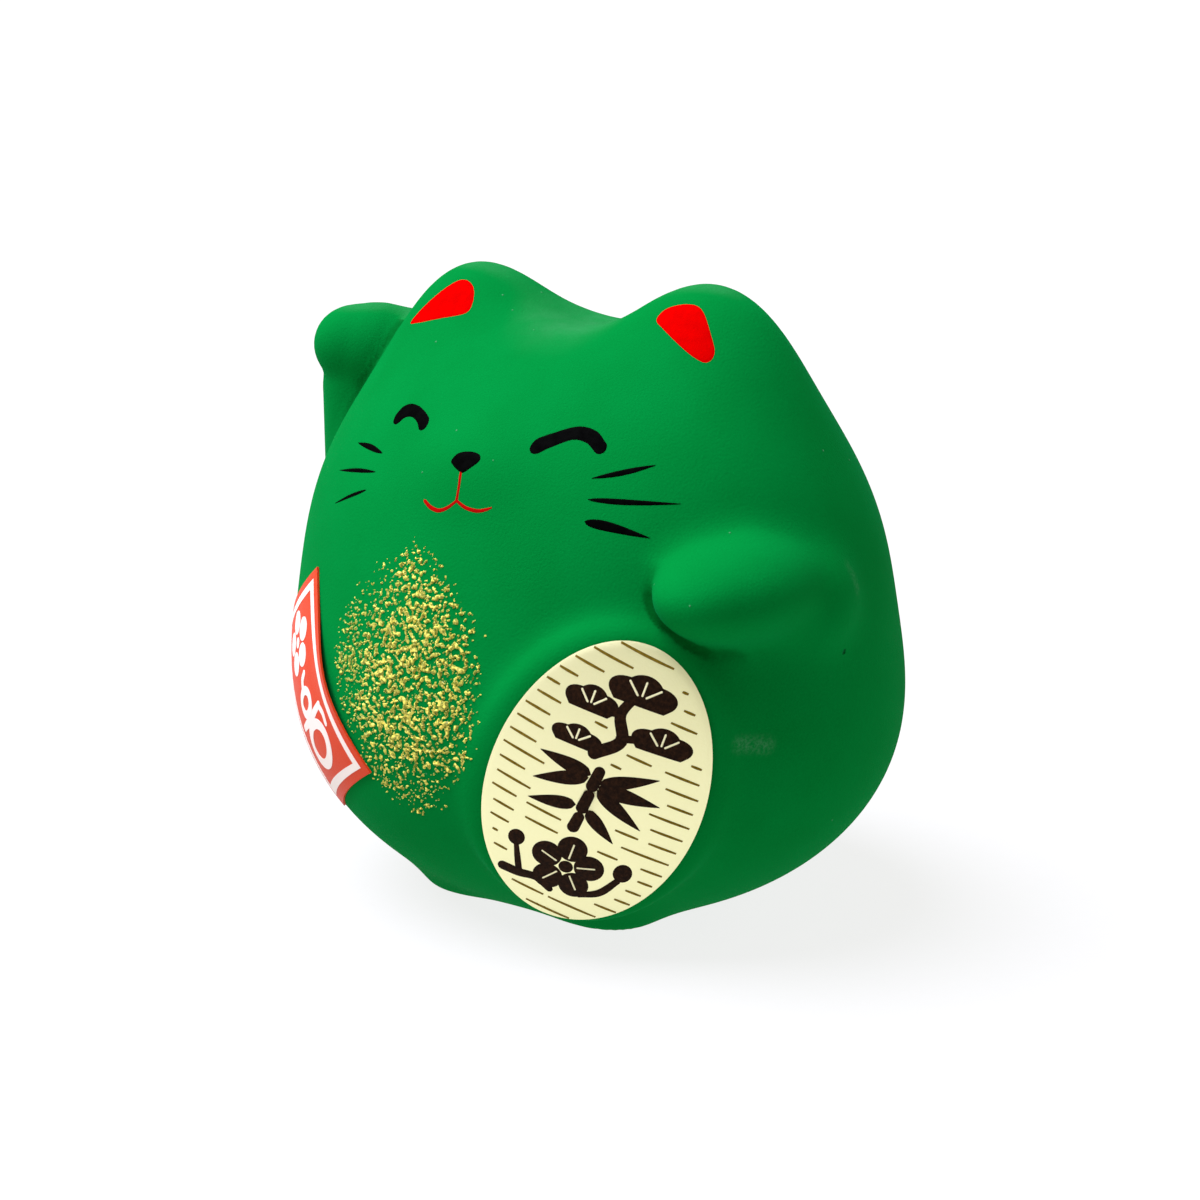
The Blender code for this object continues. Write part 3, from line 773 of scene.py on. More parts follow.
green_paint = painted_clay()
bare_clay = grained("bare_clay", 0.2, (2.0, 5.0, 0.7), (0.24, 0.12, 0.065), (0.42, 0.23, 0.13),
                    (0.85, 0.1), 0.08)
print("finishes:", green_paint.name, bare_clay.name)

# %% [markdown]
# ## The body
#
# The whole clay, outside, hollow and slot, comes out of one net. Faces deep inside the wall's
# outer skin belong to the hollow and to the slot, and get the bare clay.

# %% Body with its hollow and slot
NET_STEP = 0.5
NET_LOW = (-33.0, -27.5, -1.5)
NET_HIGH = (32.0, 28.5, 58.0)
BARE_DEPTH = 0.35


def make_body():
    points, faces = net(clay, NET_LOW, NET_HIGH, NET_STEP)
    points[:, 2] = np.maximum(points[:, 2], 0)
    bm = bmesh.new()
    vertices = [bm.verts.new(point) for point in points]
    for face in faces:
        bm.faces.new([vertices[corner] for corner in face])
    bare = skin(points[faces].mean(1)) < -BARE_DEPTH
    for face, is_bare in zip(bm.faces, bare):
        face.material_index = int(is_bare)
    add_piece("painted_body", bm, [green_paint, bare_clay], "clay_shell")
    return len(faces)


print("faces of the body:", make_body())

# %% [markdown]
# ## The pellet
#
# A pinch of clay rolled between two palms, so it is nearly round but not quite. It wears the
# bare clay of the hollow that it rolls in.

# %% Pellet
PELLET_LUMP = 0.12
PELLET_GRAIN = 0.35
PELLET_FINENESS = 5


def make_pellet():
    radius = (pellet_high - pellet_low).min() / 2
    bm = bmesh.new()
    bmesh.ops.create_icosphere(bm, subdivisions=PELLET_FINENESS, radius=radius - PELLET_LUMP)
    for vertex in bm.verts:
        swell = noise.fractal(vertex.co * PELLET_GRAIN, 0.8, 2.0, 3) * PELLET_LUMP
        vertex.co += vertex.co.normalized() * min(swell, PELLET_LUMP)
    bmesh.ops.translate(bm, vec=pellet_middle - SHIFT, verts=bm.verts)
    add_piece("rolled_pellet", bm, [bare_clay], "sound_pellet", "pellet")
    return radius * 2


print("pellet diameter in mm:", make_pellet().round(2))

# %% [markdown]
# ## Flat meshes and lines
#
# A patch of paint is a disc: rings that shrink from its outline to its middle. A brush stroke is
# a ribbon of several strips. `paint` lays both on the skin with a height that is even in the
# middle and thins to nothing at the edge, so that light shows the thickness of the paint.

# %% Discs and ribbons
def through(points, steps, closed=False):
    """A smooth curve through points, whose columns may also hold a width."""
    points = np.array(points, dtype=float)
    if closed:
        ends = (points[-1], *points, points[0], points[1])
    else:
        ends = (2 * points[0] - points[1], *points, 2 * points[-1] - points[-2])
    curve = []
    for before, start, end, after in zip(ends, ends[1:], ends[2:], ends[3:]):
        for share in np.arange(steps) / steps:
            curve.append(0.5 * (2 * start + (end - before) * share
                                + (2 * before - 5 * start + 4 * end - after) * share ** 2
                                + (3 * start - before - 3 * end + after) * share ** 3))
    return np.array(curve if closed else [*curve, points[-1]])


def disc(outline, rings):
    """Flat mesh inside a loop of chart points, with each point's share of the way to the edge."""
    outline = np.array(outline, dtype=float)
    count = len(outline)
    middle = outline.mean(0)
    shares = np.linspace(0, 1, rings + 1)[1:] ** 0.6
    sheet = np.vstack([middle[None], *(middle + (outline - middle) * share for share in shares)])
    faces = []
    for here in range(count):
        there = (here + 1) % count
        faces.append((0, 1 + here, 1 + there))
        for inner in range(1, 1 + (rings - 1) * count, count):
            outer = inner + count
            faces.append((inner + here, outer + here, outer + there, inner + there))
    return sheet, faces, np.concatenate([[0], np.repeat(shares, count)])


def ribbon(line, strips=6):
    """Flat mesh of a stroke of (side, lift, half width) rows, with shares out from its middle."""
    line = np.array(line, dtype=float)
    runs = np.gradient(line[:, :2], axis=0)
    runs = runs / length(runs)[:, None]
    square = np.stack((-runs[:, 1], runs[:, 0]), -1) * line[:, 2:]
    lanes = np.linspace(-1, 1, strips + 1)
    sheet = (line[:, None, :2] + square[:, None] * lanes[None, :, None]).reshape(-1, 2)
    wide = strips + 1
    faces = [(row * wide + lane, (row + 1) * wide + lane, (row + 1) * wide + lane + 1,
              row * wide + lane + 1) for row in range(len(line) - 1) for lane in range(strips)]
    return sheet, faces, np.tile(np.abs(lanes), len(line))


def round_ended(line):
    """Lengthen a stroke by half-round ends as wide as the stroke is there."""
    line = np.array(line)
    caps = []
    for end, inner in ((line[0], line[1]), (line[-1], line[-2])):
        out = (end[:2] - inner[:2]) / length(end[:2] - inner[:2])
        angles = np.linspace(0.12, 1, 7) * math.pi / 2
        caps.append([(*(end[:2] + out * end[2] * math.sin(angle)),
                      end[2] * math.cos(angle) + 0.005) for angle in angles])
    return np.vstack((caps[0][::-1], line, caps[1]))


def stroke(line, strips=6):
    """Flat mesh of a loaded brush's stroke through a few (side, lift, half width) rows."""
    return ribbon(round_ended(through(line, 8)), strips)


def tapered(line, half_width, bend, fullness, tip):
    """Rows of a stroke that comes out of a point and ends in one."""
    shares = np.linspace(0, 1, len(line))
    swell = half_width * np.sin(math.pi * shares ** bend) ** fullness + tip
    return np.column_stack((line, swell))


def paint(node, kind, chart, shapes, coat, finish):
    """Lay flat meshes on the skin as one coat, which has a thickness and a squareness."""
    thickness, squareness = coat
    bm = bmesh.new()
    for sheet, faces, shares in shapes:
        dome = thickness * np.sqrt(np.maximum(1 - shares ** squareness, 0)) - THIN
        film(bm, chart, sheet, faces, dome)
    add_print(node + "_" + kind, bm, finish, node)


print("points of a test ribbon:", len(ribbon([(0, 0, 1), (1, 0, 1), (2, 0, 1)])[0]))

# %% [markdown]
# ## Brushed paint
#
# Black and red are the same poster paint as the green. A brush leaves faint hair lines along
# the stroke and a coat that is a little uneven, and the red ears were filled with two or three
# dabs.

# %% Finishes of the brushed marks
def brushed(name, thin, thick, gloss):
    finish = Finish(name, Specular_IOR_Level=gloss)
    place = finish.place()
    coat = finish.noise(place, 1.1, 4.0, 0.6)
    hairs = finish.noise(place, 6.0, 2.0)
    colour = finish.blend(finish.ease(coat, 0.3, 0.7), thin, thick)
    relief = finish.bump(hairs, 0.02, finish.bump(coat, 0.05))
    return finish.wear(colour, 0.55 + coat * 0.25, relief)


black_paint = brushed("black_paint", (0.0010, 0.0011, 0.0010), (0.0003, 0.0003, 0.0003), 0.008)
red_paint = brushed("red_paint", (0.46, 0.0001, 0.0001), (0.52, 0.0001, 0.0001), 0.001)
thin_red = brushed("thin_red_paint", (0.30, 0.0030, 0.0020), (0.38, 0.0020, 0.0015), 0.004)
print("finishes:", black_paint.name, red_paint.name, thin_red.name)

# %% [markdown]
# ## Ears
#
# The red inside of each ear is a soft triangle, drawn by hand and so a little different on each
# side.

# %% Red of the ears
EAR_OUTLINES = {
    "right_ear_red": ((-15.8, -1.2), (-13.1, -1.0), (-10.2, -0.3), (-9.9, 0.9), (-10.8, 2.7),
                      (-12.3, 3.5), (-13.8, 2.8), (-17.1, -0.6)),
    "left_ear_red": ((10.1, 1.4), (10.5, 2.7), (12.5, 3.4), (14.1, 3.0), (15.9, 0.8),
                     (16.7, -0.6), (16.4, -1.6), (15.2, -1.5), (13.4, -0.7), (11.3, 0.5)),
}
EAR_COAT = (0.07, 14.0)

for node, outline in EAR_OUTLINES.items():
    patch = disc(through(outline, 8, closed=True), 10)
    paint(node, "coat", EAR_SLOPE, [patch], EAR_COAT, red_paint)
print("ears painted:", len(EAR_OUTLINES))

# %% [markdown]
# ## Eyes, nose, mouth and whiskers
#
# The eyes are closed arcs with round ends, laid on with a loaded brush. Whiskers are single
# flicks that start and end in a point. Each line gives (side, lift, half width) along the
# stroke, seen from the front, with the lift counted from the muzzle's middle.

# %% Face
EYES = {
    "right_eye": ((-10.66, 4.86, 0.68), (-10.38, 5.18, 0.70), (-9.70, 5.46, 0.60),
                  (-8.70, 5.48, 0.52), (-7.72, 5.22, 0.54), (-6.95, 4.84, 0.64)),
    "left_eye": ((6.28, 4.48, 0.75), (7.10, 4.90, 0.66), (8.81, 5.55, 0.58),
                 (10.31, 5.36, 0.56), (11.48, 4.62, 0.52)),
}
NOSE = ((-0.78, 2.36), (-0.10, 2.04), (0.52, 1.90), (1.20, 2.38), (1.80, 3.00), (1.45, 3.48),
        (0.38, 3.60), (-0.78, 3.33), (-1.20, 2.68))
MOUTH_STEM = ((0.29, 2.05, 0.15), (0.51, 0.85, 0.14), (0.60, -0.31, 0.16))
MOUTH_CURLS = (
    ((0.60, -0.31, 0.14), (-0.16, -0.94, 0.17), (-1.10, -1.31, 0.20), (-2.09, -1.19, 0.20),
     (-2.92, -0.80, 0.18)),
    ((0.60, -0.31, 0.14), (1.63, -0.74, 0.17), (2.83, -0.89, 0.18), (3.67, -0.71, 0.15),
     (4.12, -0.52, 0.08)),
)
WHISKERS = {
    # node: (start, middle, end, half width, where along it is thickest)
    "right_whisker_top": ((-10.73, 1.92), (-13.07, 2.06), (-15.37, 2.01), 0.26, 0.45),
    "right_whisker_middle": ((-10.72, 0.41), (-13.71, 0.04), (-16.97, -0.55), 0.19, 0.45),
    "right_whisker_bottom": ((-11.22, -1.14), (-13.51, -2.04), (-15.89, -3.09), 0.17, 0.40),
    "left_whisker_top": ((11.82, 2.33), (14.09, 2.88), (16.21, 3.51), 0.26, 0.50),
    "left_whisker_middle": ((12.13, 0.74), (15.27, 0.67), (19.00, 0.65), 0.25, 0.40),
    "left_whisker_bottom": ((12.42, -0.94), (14.68, -1.30), (17.66, -1.99), 0.42, 0.35),
}
BRUSH_THICKNESS = 0.06
BRUSH_COAT = (BRUSH_THICKNESS, 3.0)
NOSE_COAT = (BRUSH_THICKNESS * 1.4, 5.0)
MOUTH_COAT = (BRUSH_THICKNESS * 0.8, 3.0)


def flick(start, middle, end, half_width, peak):
    """Flat mesh of a whisker, with its thickest place at the share peak of its way."""
    line = through((start, middle, end), 10)
    return ribbon(tapered(line, half_width, math.log(0.5) / math.log(peak), 0.8, 0.012))


for node, line in EYES.items():
    paint(node, "stroke", FACE, [stroke(line)], BRUSH_COAT, black_paint)
nose = disc(through(NOSE, 6, closed=True), 8)
paint("nose", "dab", FACE, [nose], NOSE_COAT, black_paint)
mouth = [stroke(line) for line in (MOUTH_STEM, *MOUTH_CURLS)]
paint("mouth", "stroke", FACE, mouth, MOUTH_COAT, thin_red)
for node, line in WHISKERS.items():
    paint(node, "stroke", FACE, [flick(*line)], BRUSH_COAT, black_paint)
print("strokes:", len(EYES) + len(mouth) + len(WHISKERS))

# %% [markdown]
# ## Gold dabbed on the breast
#
# A dry sponge with gold paint leaves flecks: hundreds of crumbs and worms with some relief. They
# come from one landscape. Noise decides the height at each point of a fine grid, what stays
# under water is thrown away, and what rises out of it is a fleck. The water rises towards the
# edge of the dabbed area, so that the flecks thin out there. Blender's vector noise starts from
# the clock unless it gets a seed, so it gets one.

# %% Gold flecks
DABS_MIDDLE = np.array((-2.2, 6.2))
DABS_EDGE = ((-3.8, 17.6), (0.5, 15.7), (4.2, 12.7), (5.8, 7.9), (6.4, 3.1), (4.1, -1.8),
             (-0.6, -5.3), (-4.3, -3.8), (-7.5, 0.4), (-10.1, 4.2), (-11.2, 8.3), (-9.8, 12.0),
             (-6.7, 15.5))
THIN_GOLD_SIDE = (-9.5, -2.5)
THIN_GOLD_FOOT = (-4.0, 2.5)
FLECK_GRID = 0.08
FLECK_HEIGHT = 0.17
FLECK_SLOPE = 0.30
FLECK_SEED = 5
FLECK_FOOT = -0.03
FLECK_ROOT = -0.08
DABS_MARGIN = 0.8
WORM_SCALE = 2.4
CRUMB_SCALE = 3.5
SWIRL_SCALE = 0.9
GOLD = (0.95, 0.82, 0.13)
# thinner gold, darker also as painted shade where the breast turns away from view
THIN_SHADED_GOLD = (0.49, 0.53, 0.06)
DEEP_GOLD = (0.24, 0.27, 0.014)


def gold_paint():
    finish = Finish("gold_paint", Specular_IOR_Level=0.35)
    place = finish.place()
    crumbs = finish.ease(finish.noise(place, 3.6, 4.0, 0.65), 0.38, 0.58)
    # Dimmer and more olive towards the cat's right side: the gold is thinner there, and the colour
    # also paints shade where the breast turns away from view.
    thin_and_shaded = 1 - finish.ease(finish.along(place, "X"), *THIN_GOLD_SIDE)
    colour = finish.blend(crumbs, DEEP_GOLD, finish.blend(thin_and_shaded * 0.6, GOLD, THIN_SHADED_GOLD))
    return finish.wear(colour, 0.25 + crumbs * 0.3, finish.bump(crumbs, 0.07))


def shore(place):
    """How far out in the dabbed area a place lies: 0 in the middle, 1 on the edge."""
    edge = np.array(DABS_EDGE) - DABS_MIDDLE
    off = place - DABS_MIDDLE
    reach = np.interp(math.atan2(off[1], off[0]), np.arctan2(edge[:, 1], edge[:, 0]),
                      length(edge), period=2 * math.pi)
    return math.hypot(*off) / reach


def fleck_height(place):
    """Height of the gold above the water at a place of the breast."""
    spot = Vector((*place, 0))
    thin = 1 - min(np.interp(place[0], THIN_GOLD_SIDE, (0, 1)),
                   np.interp(place[1], THIN_GOLD_FOOT, (0, 1)))
    wobble = noise.noise(spot * 0.45 + Vector((0, 0, 7))) * 0.10
    swirl = noise.noise_vector(spot * SWIRL_SCALE) * 0.6
    worms = noise.fractal(spot * WORM_SCALE + swirl, 0.75, 2.1, 3) * (1 - 0.8 * thin)
    crumbs = noise.fractal(spot * CRUMB_SCALE + swirl, 0.75, 2.1, 2) * 0.8 * thin
    patches = noise.noise(spot * 0.5 + Vector((0, 0, 11))) * 0.18
    out = shore(place) + wobble
    water = 0.08 + 0.8 * max(out - 0.55, 0) ** 1.5 + 4.0 * max(out - 0.97, 0) + 0.06 * thin
    return worms + crumbs + patches - water


def make_flecks():
    noise.seed_set(FLECK_SEED)
    low = np.min(DABS_EDGE, 0) - DABS_MARGIN
    high = np.max(DABS_EDGE, 0) + DABS_MARGIN
    grid = np.stack(np.meshgrid(*(np.arange(*ends, FLECK_GRID) for ends in zip(low, high))), -1)
    heights = np.apply_along_axis(fleck_height, 2, grid)
    number = {}
    faces = []
    for row, column in np.ndindex(grid.shape[0] - 1, grid.shape[1] - 1):
        corners = ((row, column), (row, column + 1), (row + 1, column + 1), (row + 1, column))
        if max(heights[corner] for corner in corners) > 0:
            faces.append(tuple(number.setdefault(corner, len(number)) for corner in corners))
    sheet = np.array([grid[corner] for corner in number])
    rise = np.array([heights[corner] for corner in number]) / FLECK_SLOPE
    over = np.where(rise > 0, FLECK_HEIGHT * np.clip(rise, 0, 1) ** 0.6, FLECK_FOOT)
    bm = bmesh.new()
    film(bm, BREAST, sheet, faces, over, FLECK_ROOT)
    add_piece("gold_flecks", bm, [gold_paint()], "gold_dabs")
    return len(faces)


print("faces of gold:", make_flecks())

# %% [markdown]
# ## Gold card
#
# An old oval coin is imitated by a piece of pale gold card with a printed face: rows of short
# brown dashes, as if hammered, and a big brown ornament. Here that is pine, bamboo and plum,
# the three plants of good fortune. The card is a closed film on the plaque with a cut edge, and
# the ink is a film of its own on top.

# %% Card
CARD_HALF = np.array((9.05, 13.25))
CARD_TOP = 0.32
CARD_EDGE_DROP = 0.05
INK_TOP = 0.36
INK_STRIPS = 4


def card_stock():
    finish = Finish("gold_card", Specular_IOR_Level=0.4, Metallic=0.85)
    place = finish.place()
    fibre = finish.noise(place, 5.0, 3.0)
    broad = finish.noise(place, 0.2, 2.0)
    colour = finish.blend(fibre * 0.4 + broad * 0.4, (1.0, 0.97, 0.60), (0.96, 0.93, 0.54))
    return finish.wear(colour, 0.5 + fibre * 0.1, finish.bump(fibre, 0.012))


def printing_ink(name, thick, thin):
    return grained(name, 0.05, (3.0, 5.0, 0.7), thick, thin, (0.5, 0.2), 0.02, (0.35, 0.75))


def oval(half_sizes, count=160):
    angles = np.arange(count) * 2 * math.pi / count
    return np.stack((half_sizes[0] * np.cos(angles), half_sizes[1] * np.sin(angles)), -1)


def make_card():
    sheet, faces, shares = disc(oval(CARD_HALF), 24)
    bm = bmesh.new()
    film(bm, PLAQUE, sheet, faces, CARD_TOP - CARD_EDGE_DROP * shares ** 200, 0.0,
         armless)
    bm.normal_update()
    for face in bm.faces:
        face.material_index = int(face.normal.dot(Vector(PLAQUE.outward)) < 0.5)
    edge = grained("card_edge", 0.4, (4.0, 2.0), (0.15, 0.12, 0.02), (0.30, 0.25, 0.06),
                   (0.4, 0.2), 0.03)
    add_piece("card_oval", bm, [card_stock(), edge], "gold_card")


make_card()
brown_ink = printing_ink("printing_ink", (0.010, 0.004, 0.002), (0.034, 0.013, 0.005))
olive_ink = printing_ink("olive_ink", (0.150, 0.095, 0.008), (0.260, 0.170, 0.015))
print("card half sizes in mm:", CARD_HALF)

# %% [markdown]
# ### Pine, bamboo and plum
#
# Three simple brush drawings, one above the other. Pine is clouds of needles on a bent trunk,
# bamboo a jointed cane with leaves, and plum a five-petalled flower on a twig. The fine veins
# have the packed card's plain gold. Every drawn sheet is remembered, because the dashes that
# come after it keep clear of the ornament.

# %% Pens and leaves
VEIN_TOP = INK_TOP + 0.02
INK_FOOT = CARD_TOP - 0.02
drawn = []


def lay(bm, sheet, faces, shares, top=INK_TOP):
    """A film of ink on the card, a little lower at its edge."""
    drawn.append(np.asarray(sheet))
    film(bm, PLAQUE, sheet, faces, top - 0.03 * shares ** 8, INK_FOOT, armless)


def blade(bm, start, end, half_width):
    """A bamboo leaf, round near its stalk and drawn out to a point."""
    line = through((start, end), 12)
    lay(bm, *ribbon(tapered(line, half_width, 0.6, 0.9, 0.02), INK_STRIPS))


def vein(bm, foot, tip, shares, half_width):
    line = [(*(foot + tip * share), half_width) for share in shares]
    lay(bm, *stroke(line, INK_STRIPS), VEIN_TOP)


def cloud(bm, veins, middle, half_width, half_height):
    """A cushion of pine needles with three bumps, a flat foot and veins."""
    outline = []
    for angle in np.linspace(0, math.pi, 28):
        swell = 1 + 0.18 * abs(math.sin(3 * angle))
        outline.append((half_width * swell * math.cos(angle),
                        half_height * swell * math.sin(angle)))
    outline += [(half_width * share, -0.3 * half_height) for share in np.linspace(-0.8, 0.8, 9)]
    lay(bm, *disc(np.array(outline) + middle, 5))
    for lean in (-0.62, 0.0, 0.62):
        tip = np.array((half_width * math.sin(lean), half_height * math.cos(lean)))
        vein(veins, middle, tip, (0.25, 0.55, 0.85), 0.10)


def plum_rays():
    """Unit directions from the middle of a plum flower to its five petals, the first one up."""
    angles = [math.pi / 2 + petal * 2 * math.pi / 5 for petal in range(5)]
    return [np.array((math.cos(angle), math.sin(angle))) for angle in angles]


print("petals:", len(plum_rays()))

# %% Ornament
PINE_WOOD = (
    ((-1.2, 3.6, 0.55), (0.5, 5.3, 0.52), (-0.3, 7.4, 0.46), (0.5, 9.4, 0.34)),
    ((0.3, 5.5, 0.34), (2.0, 5.9, 0.30), (3.2, 5.9, 0.26)),
    ((-0.2, 7.4, 0.30), (-1.5, 7.2, 0.28), (-2.4, 7.2, 0.26)),
)
PINE_CLOUDS = (
    # middle, half width and half height
    ((0.8, 9.0), 2.7, 1.75), ((-2.9, 7.1), 2.1, 1.5),
    ((3.7, 5.7), 2.4, 1.55), ((-3.0, 3.9), 2.0, 1.25),
)
CANE_JOINTS = (-3.9, -1.9, 0.3, 2.6)
BAMBOO_LEAVES = (
    # stalk, tip and half width
    ((-0.8, 1.7), (-5.4, 2.1), 0.62), ((-0.9, 1.4), (-5.2, -0.4), 0.62),
    ((0.1, 1.2), (4.6, 3.2), 0.58), ((0.1, 0.9), (5.4, 0.9), 0.66),
    ((0.1, 0.6), (4.6, -1.7), 0.60), ((-1.1, -1.3), (-5.0, -2.3), 0.58),
    ((-0.1, -1.5), (2.9, -3.7), 0.56),
)
PLUM_MIDDLE = np.array((0.0, -7.5))
PLUM_REACH = 1.95
PLUM_TWIGS = (
    ((-4.9, -9.9, 0.46), (-3.5, -9.9, 0.44), (-2.0, -9.7, 0.38), (-0.6, -10.4, 0.3)),
    ((1.9, -9.9, 0.28), (3.4, -9.0, 0.36), (4.4, -7.3, 0.30)),
    ((-4.5, -7.2, 0.22), (-4.0, -8.5, 0.28), (-3.5, -9.8, 0.30)),
)
PLUM_BUDS = (((4.6, -6.3), (0.80, 0.95)), ((-4.7, -6.5), (0.72, 0.80)))


def draw_pine(bm, veins):
    for line in PINE_WOOD:
        lay(bm, *stroke(line, INK_STRIPS))
    for size in PINE_CLOUDS:
        cloud(bm, veins, *size)


def draw_bamboo(bm):
    for low, high in zip(CANE_JOINTS, CANE_JOINTS[1:]):
        cane = ((low * 0.06 - 0.4, low + 0.5, 0.52), (high * 0.06 - 0.4, high - 0.42, 0.48))
        lay(bm, *stroke(cane, INK_STRIPS))
    for leaf in BAMBOO_LEAVES:
        blade(bm, *leaf)


def draw_plum(bm, veins):
    for ray in plum_rays():
        lay(bm, *disc(oval((1.28, 1.28), 28) + PLUM_MIDDLE + PLUM_REACH * ray, 5))
        vein(veins, PLUM_MIDDLE, ray, (1.0, 1.7, 2.4), 0.09)
    lay(bm, *disc(oval((0.62, 0.62), 20) + PLUM_MIDDLE, 3))
    for line in PLUM_TWIGS:
        lay(bm, *stroke(line, INK_STRIPS))
    for bud, half_sizes in PLUM_BUDS:
        lay(bm, *disc(oval(half_sizes, 20) + bud, 3))


def make_ornament():
    ink, veins = bmesh.new(), bmesh.new()
    draw_pine(ink, veins)
    draw_bamboo(ink)
    draw_plum(ink, veins)
    add_print("card_ornament", ink, brown_ink)
    add_print("card_veins", veins, bpy.data.materials["gold_card"])


make_ornament()
print("drawn sheets:", len(drawn))

# %% [markdown]
# ### The dashes
#
# The dashes stand in rows across the card wherever the ornament leaves room. The real ones are
# uneven, so each is shortened a little by a wave, which is the same in every run.

# %% Dashes
ROW_STEP = 1.32
DASH_HALF_WIDTH = 0.115
DASH_TOP = INK_TOP - 0.02
DASH_LENGTH = 2.7
DASH_GAP = 0.7
DASH_SLANT = -0.10
DASH_CLEARANCE = 0.55
RIM_CLEARANCE = 0.55
ROW_REACH = 2.0
SAMPLE = 0.1
SHORTEST_RUN = 0.6
DASH_WOBBLE = 0.35


def uneven(number):
    """A length up to DASH_WOBBLE that looks random but is the same each time."""
    return abs(DASH_WOBBLE * math.sin(number * 12.9898 + 4.1) * math.cos(number * 7.233))


def free_runs(height):
    """Stretches of a row that the rim and the ornament leave free."""
    steep = max(1 - (height / CARD_HALF[1]) ** 2, 0)
    reach = CARD_HALF[0] * math.sqrt(steep) - RIM_CLEARANCE
    across = np.arange(-reach, reach, SAMPLE)
    ornament = np.vstack(drawn)
    near = ornament[np.abs(ornament[:, 1] - height) < ROW_REACH]
    free = [place for place in across if not len(near) or
            length(near - (place, height + DASH_SLANT * place)).min() >= DASH_CLEARANCE]
    runs = np.split(free, np.nonzero(np.diff(free) >= 1.5 * SAMPLE)[0] + 1)
    return [(run[0], run[-1]) for run in runs if len(run) and run[-1] - run[0] > SHORTEST_RUN]


def dash(number, start, end):
    """Places and half widths along a dash, which is thinner and a little short at its ends."""
    first = start + uneven(number)
    last = end - uneven(number + 40)
    shares = np.linspace(0, 1, 8)
    swell = DASH_HALF_WIDTH * (0.7 + 0.3 * np.sin(math.pi * shares))
    return first + (last - first) * shares, swell


def make_dashes():
    bm = bmesh.new()
    count = 0
    rows = int(2 * CARD_HALF[1] / ROW_STEP)
    for height in CARD_HALF[1] - ROW_STEP * (0.6 + np.arange(rows)):
        for start, end in free_runs(height):
            pieces = max(round((end - start) / (DASH_LENGTH + DASH_GAP)), 1)
            pitch = (end - start) / pieces
            for piece in range(pieces):
                count += 1
                last = start + pitch * (piece + 1) - DASH_GAP * (piece < pieces - 1)
                across, swell = dash(count, start + pitch * piece, last)
                line = np.column_stack((across, height + DASH_SLANT * across, swell))
                sheet, faces, _ = ribbon(line, 2)
                film(bm, PLAQUE, sheet, faces, DASH_TOP, INK_FOOT, armless)
    add_print("card_dashes", bm, olive_ink)
    return count


print("dashes:", make_dashes())

# %% [markdown]
# ## Red label
#
# A strip of paper glued slantwise round the flank: red, with a white line inside its edge and
# two white ornaments, a plum flower and a gourd. It was cut by hand, so it isn't quite square,
# and its inner edge has come off the clay a little. The print is a thin film on the paper.

# %% Label
LABEL_CORNERS = ((6.1, -10.4), (5.6, 9.2), (-5.8, 9.2), (-5.8, -9.2))
LABEL_FOOT = 0.02
LABEL_TOP = 0.22
LABEL_INK_TOP = 0.25
FLOWER_MIDDLE = np.array((0.0, 4.3))
GOURD_BULBS = (
    # middle, half sizes and width of the line
    ((0.0, -5.3), (2.7, 2.2), 0.95),
    ((0.0, -1.4), (1.75, 1.45), 0.8),
)
GOURD_LINES = (
    # stalk, cord and the cord's end
    ((0.0, -0.1, 0.38), (0.3, 0.6, 0.34), (1.1, 1.0, 0.28)),
    ((-3.0, -2.7, 0.3), (0.0, -3.0, 0.42), (3.0, -2.7, 0.3)),
    ((2.9, -2.8, 0.3), (3.3, -3.7, 0.3), (3.2, -4.6, 0.26)),
)
LINE_INSET = 1.15
LINE_HALF_WIDTH = 0.36
CURL_START = 2.5
CURL_END = 6.0
CURL_HEIGHT = 0.55
CURL_MIDDLE = -1.5
CURL_REACH = 5.0


def label_paper(name, first, second):
    return grained(name, 0.06, (6.0, 3.0, 0.7), first, second, (0.35, 0.15), 0.012)


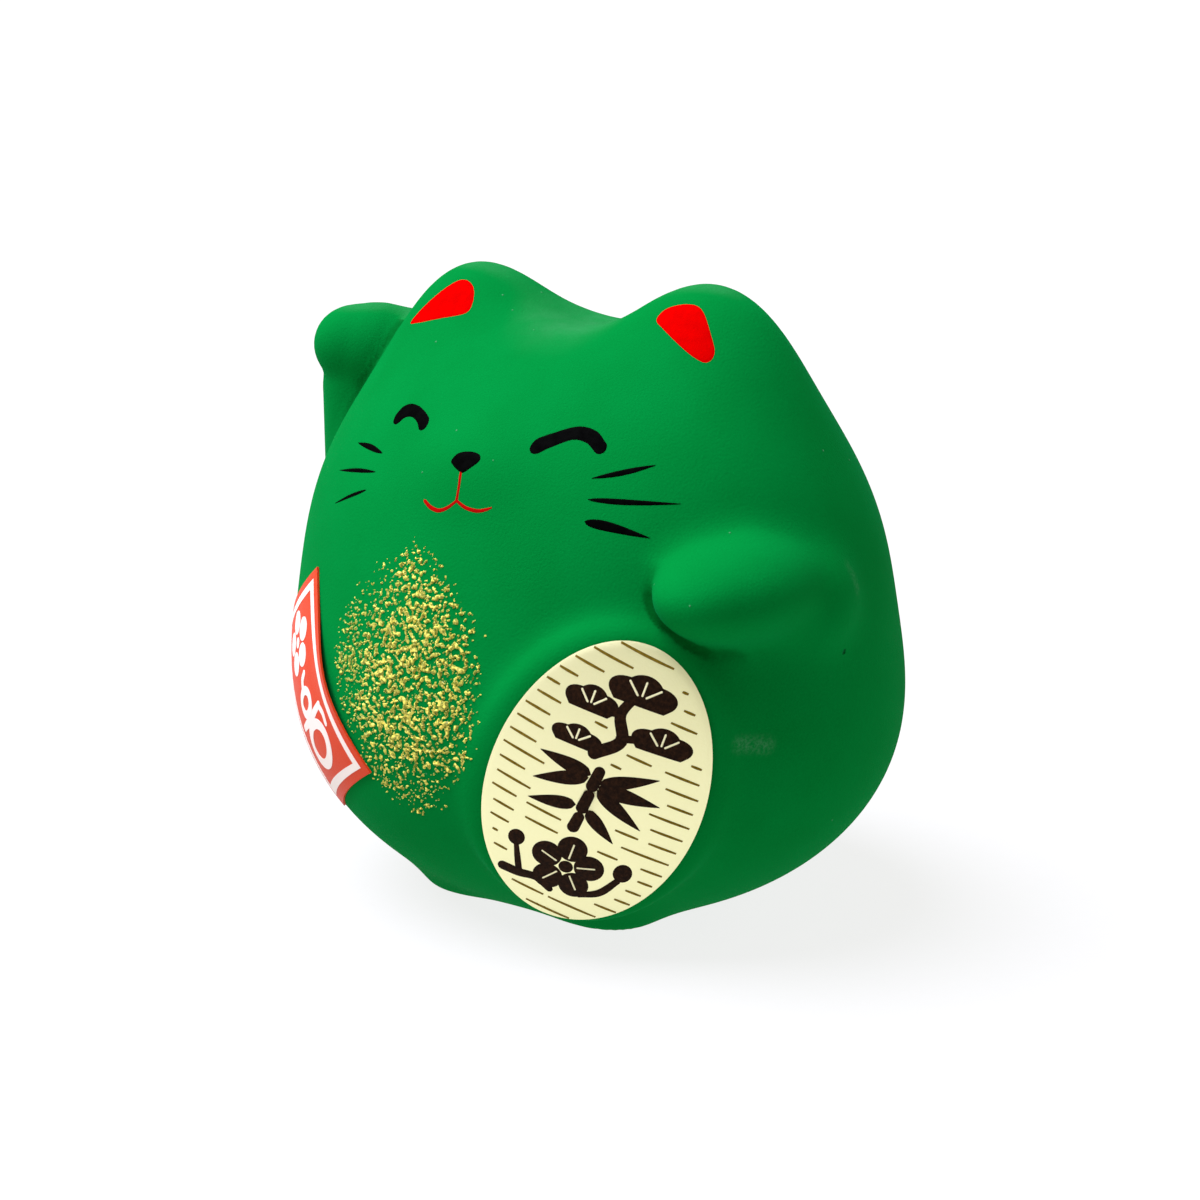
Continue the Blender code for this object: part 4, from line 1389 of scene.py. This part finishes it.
def inset(corners, amount, side_steps=24):
    """Outline inside the corners of a four-sided sheet, with points along its sides."""
    corners = np.array(corners)
    corners = corners - np.sign(corners) * amount
    outline = []
    for start, end in zip(corners, np.roll(corners, -1, 0)):
        outline += list(start + (end - start) * np.arange(side_steps)[:, None] / side_steps)
    return np.array(outline)


def curl(sheet):
    """How far the paper has come off the clay, along its inner edge."""
    side = np.clip((sheet[:, 0] - CURL_START) / (CURL_END - CURL_START), 0, 1)
    return CURL_HEIGHT * side ** 2 * np.exp(-((sheet[:, 1] - CURL_MIDDLE) / CURL_REACH) ** 2)


def label_film(bm, sheet, faces, shares=0.0):
    sheet = np.asarray(sheet)
    lift = curl(sheet)
    film(bm, FLANK, sheet, faces, LABEL_INK_TOP + lift - 0.01 * shares, LABEL_TOP + lift - 0.02)


def hoop(bm, outer, inner):
    """Print the band between two loops of as many points."""
    count = len(outer)
    faces = [(i + count, i, (i + 1) % count, (i + 1) % count + count) for i in range(count)]
    label_film(bm, np.vstack((outer, inner)), faces)


def print_flower(bm):
    for ray in plum_rays():
        label_film(bm, *disc(oval((1.08, 1.08), 28) + (FLOWER_MIDDLE + PLUM_REACH * ray), 4))
    label_film(bm, *disc(oval((0.5, 0.5), 20) + FLOWER_MIDDLE, 3))


def print_gourd(bm):
    for middle, size, width in GOURD_BULBS:
        outer = oval(size, 40)
        hoop(bm, outer + middle, outer * (1 - width / np.array(size)) + middle)
    for line in GOURD_LINES:
        label_film(bm, *stroke(line, INK_STRIPS))


def make_label():
    sheet, faces, _ = disc(inset(LABEL_CORNERS, 0), 16)
    bm = bmesh.new()
    lift = curl(sheet)
    film(bm, FLANK, sheet, faces, LABEL_TOP + lift, LABEL_FOOT + lift)
    red = label_paper("red_label_paper", (0.64, 0.052, 0.012), (0.56, 0.040, 0.009))
    add_piece("label_strip", bm, [red], "red_label")
    bm = bmesh.new()
    hoop(bm, inset(LABEL_CORNERS, LINE_INSET - LINE_HALF_WIDTH),
         inset(LABEL_CORNERS, LINE_INSET + LINE_HALF_WIDTH))
    print_flower(bm)
    print_gourd(bm)
    white = label_paper("label_white", (0.86, 0.76, 0.70), (0.80, 0.69, 0.63))
    add_print("label_print", bm, white)


make_label()
print("label corners in mm:", LABEL_CORNERS)

# %% [markdown]
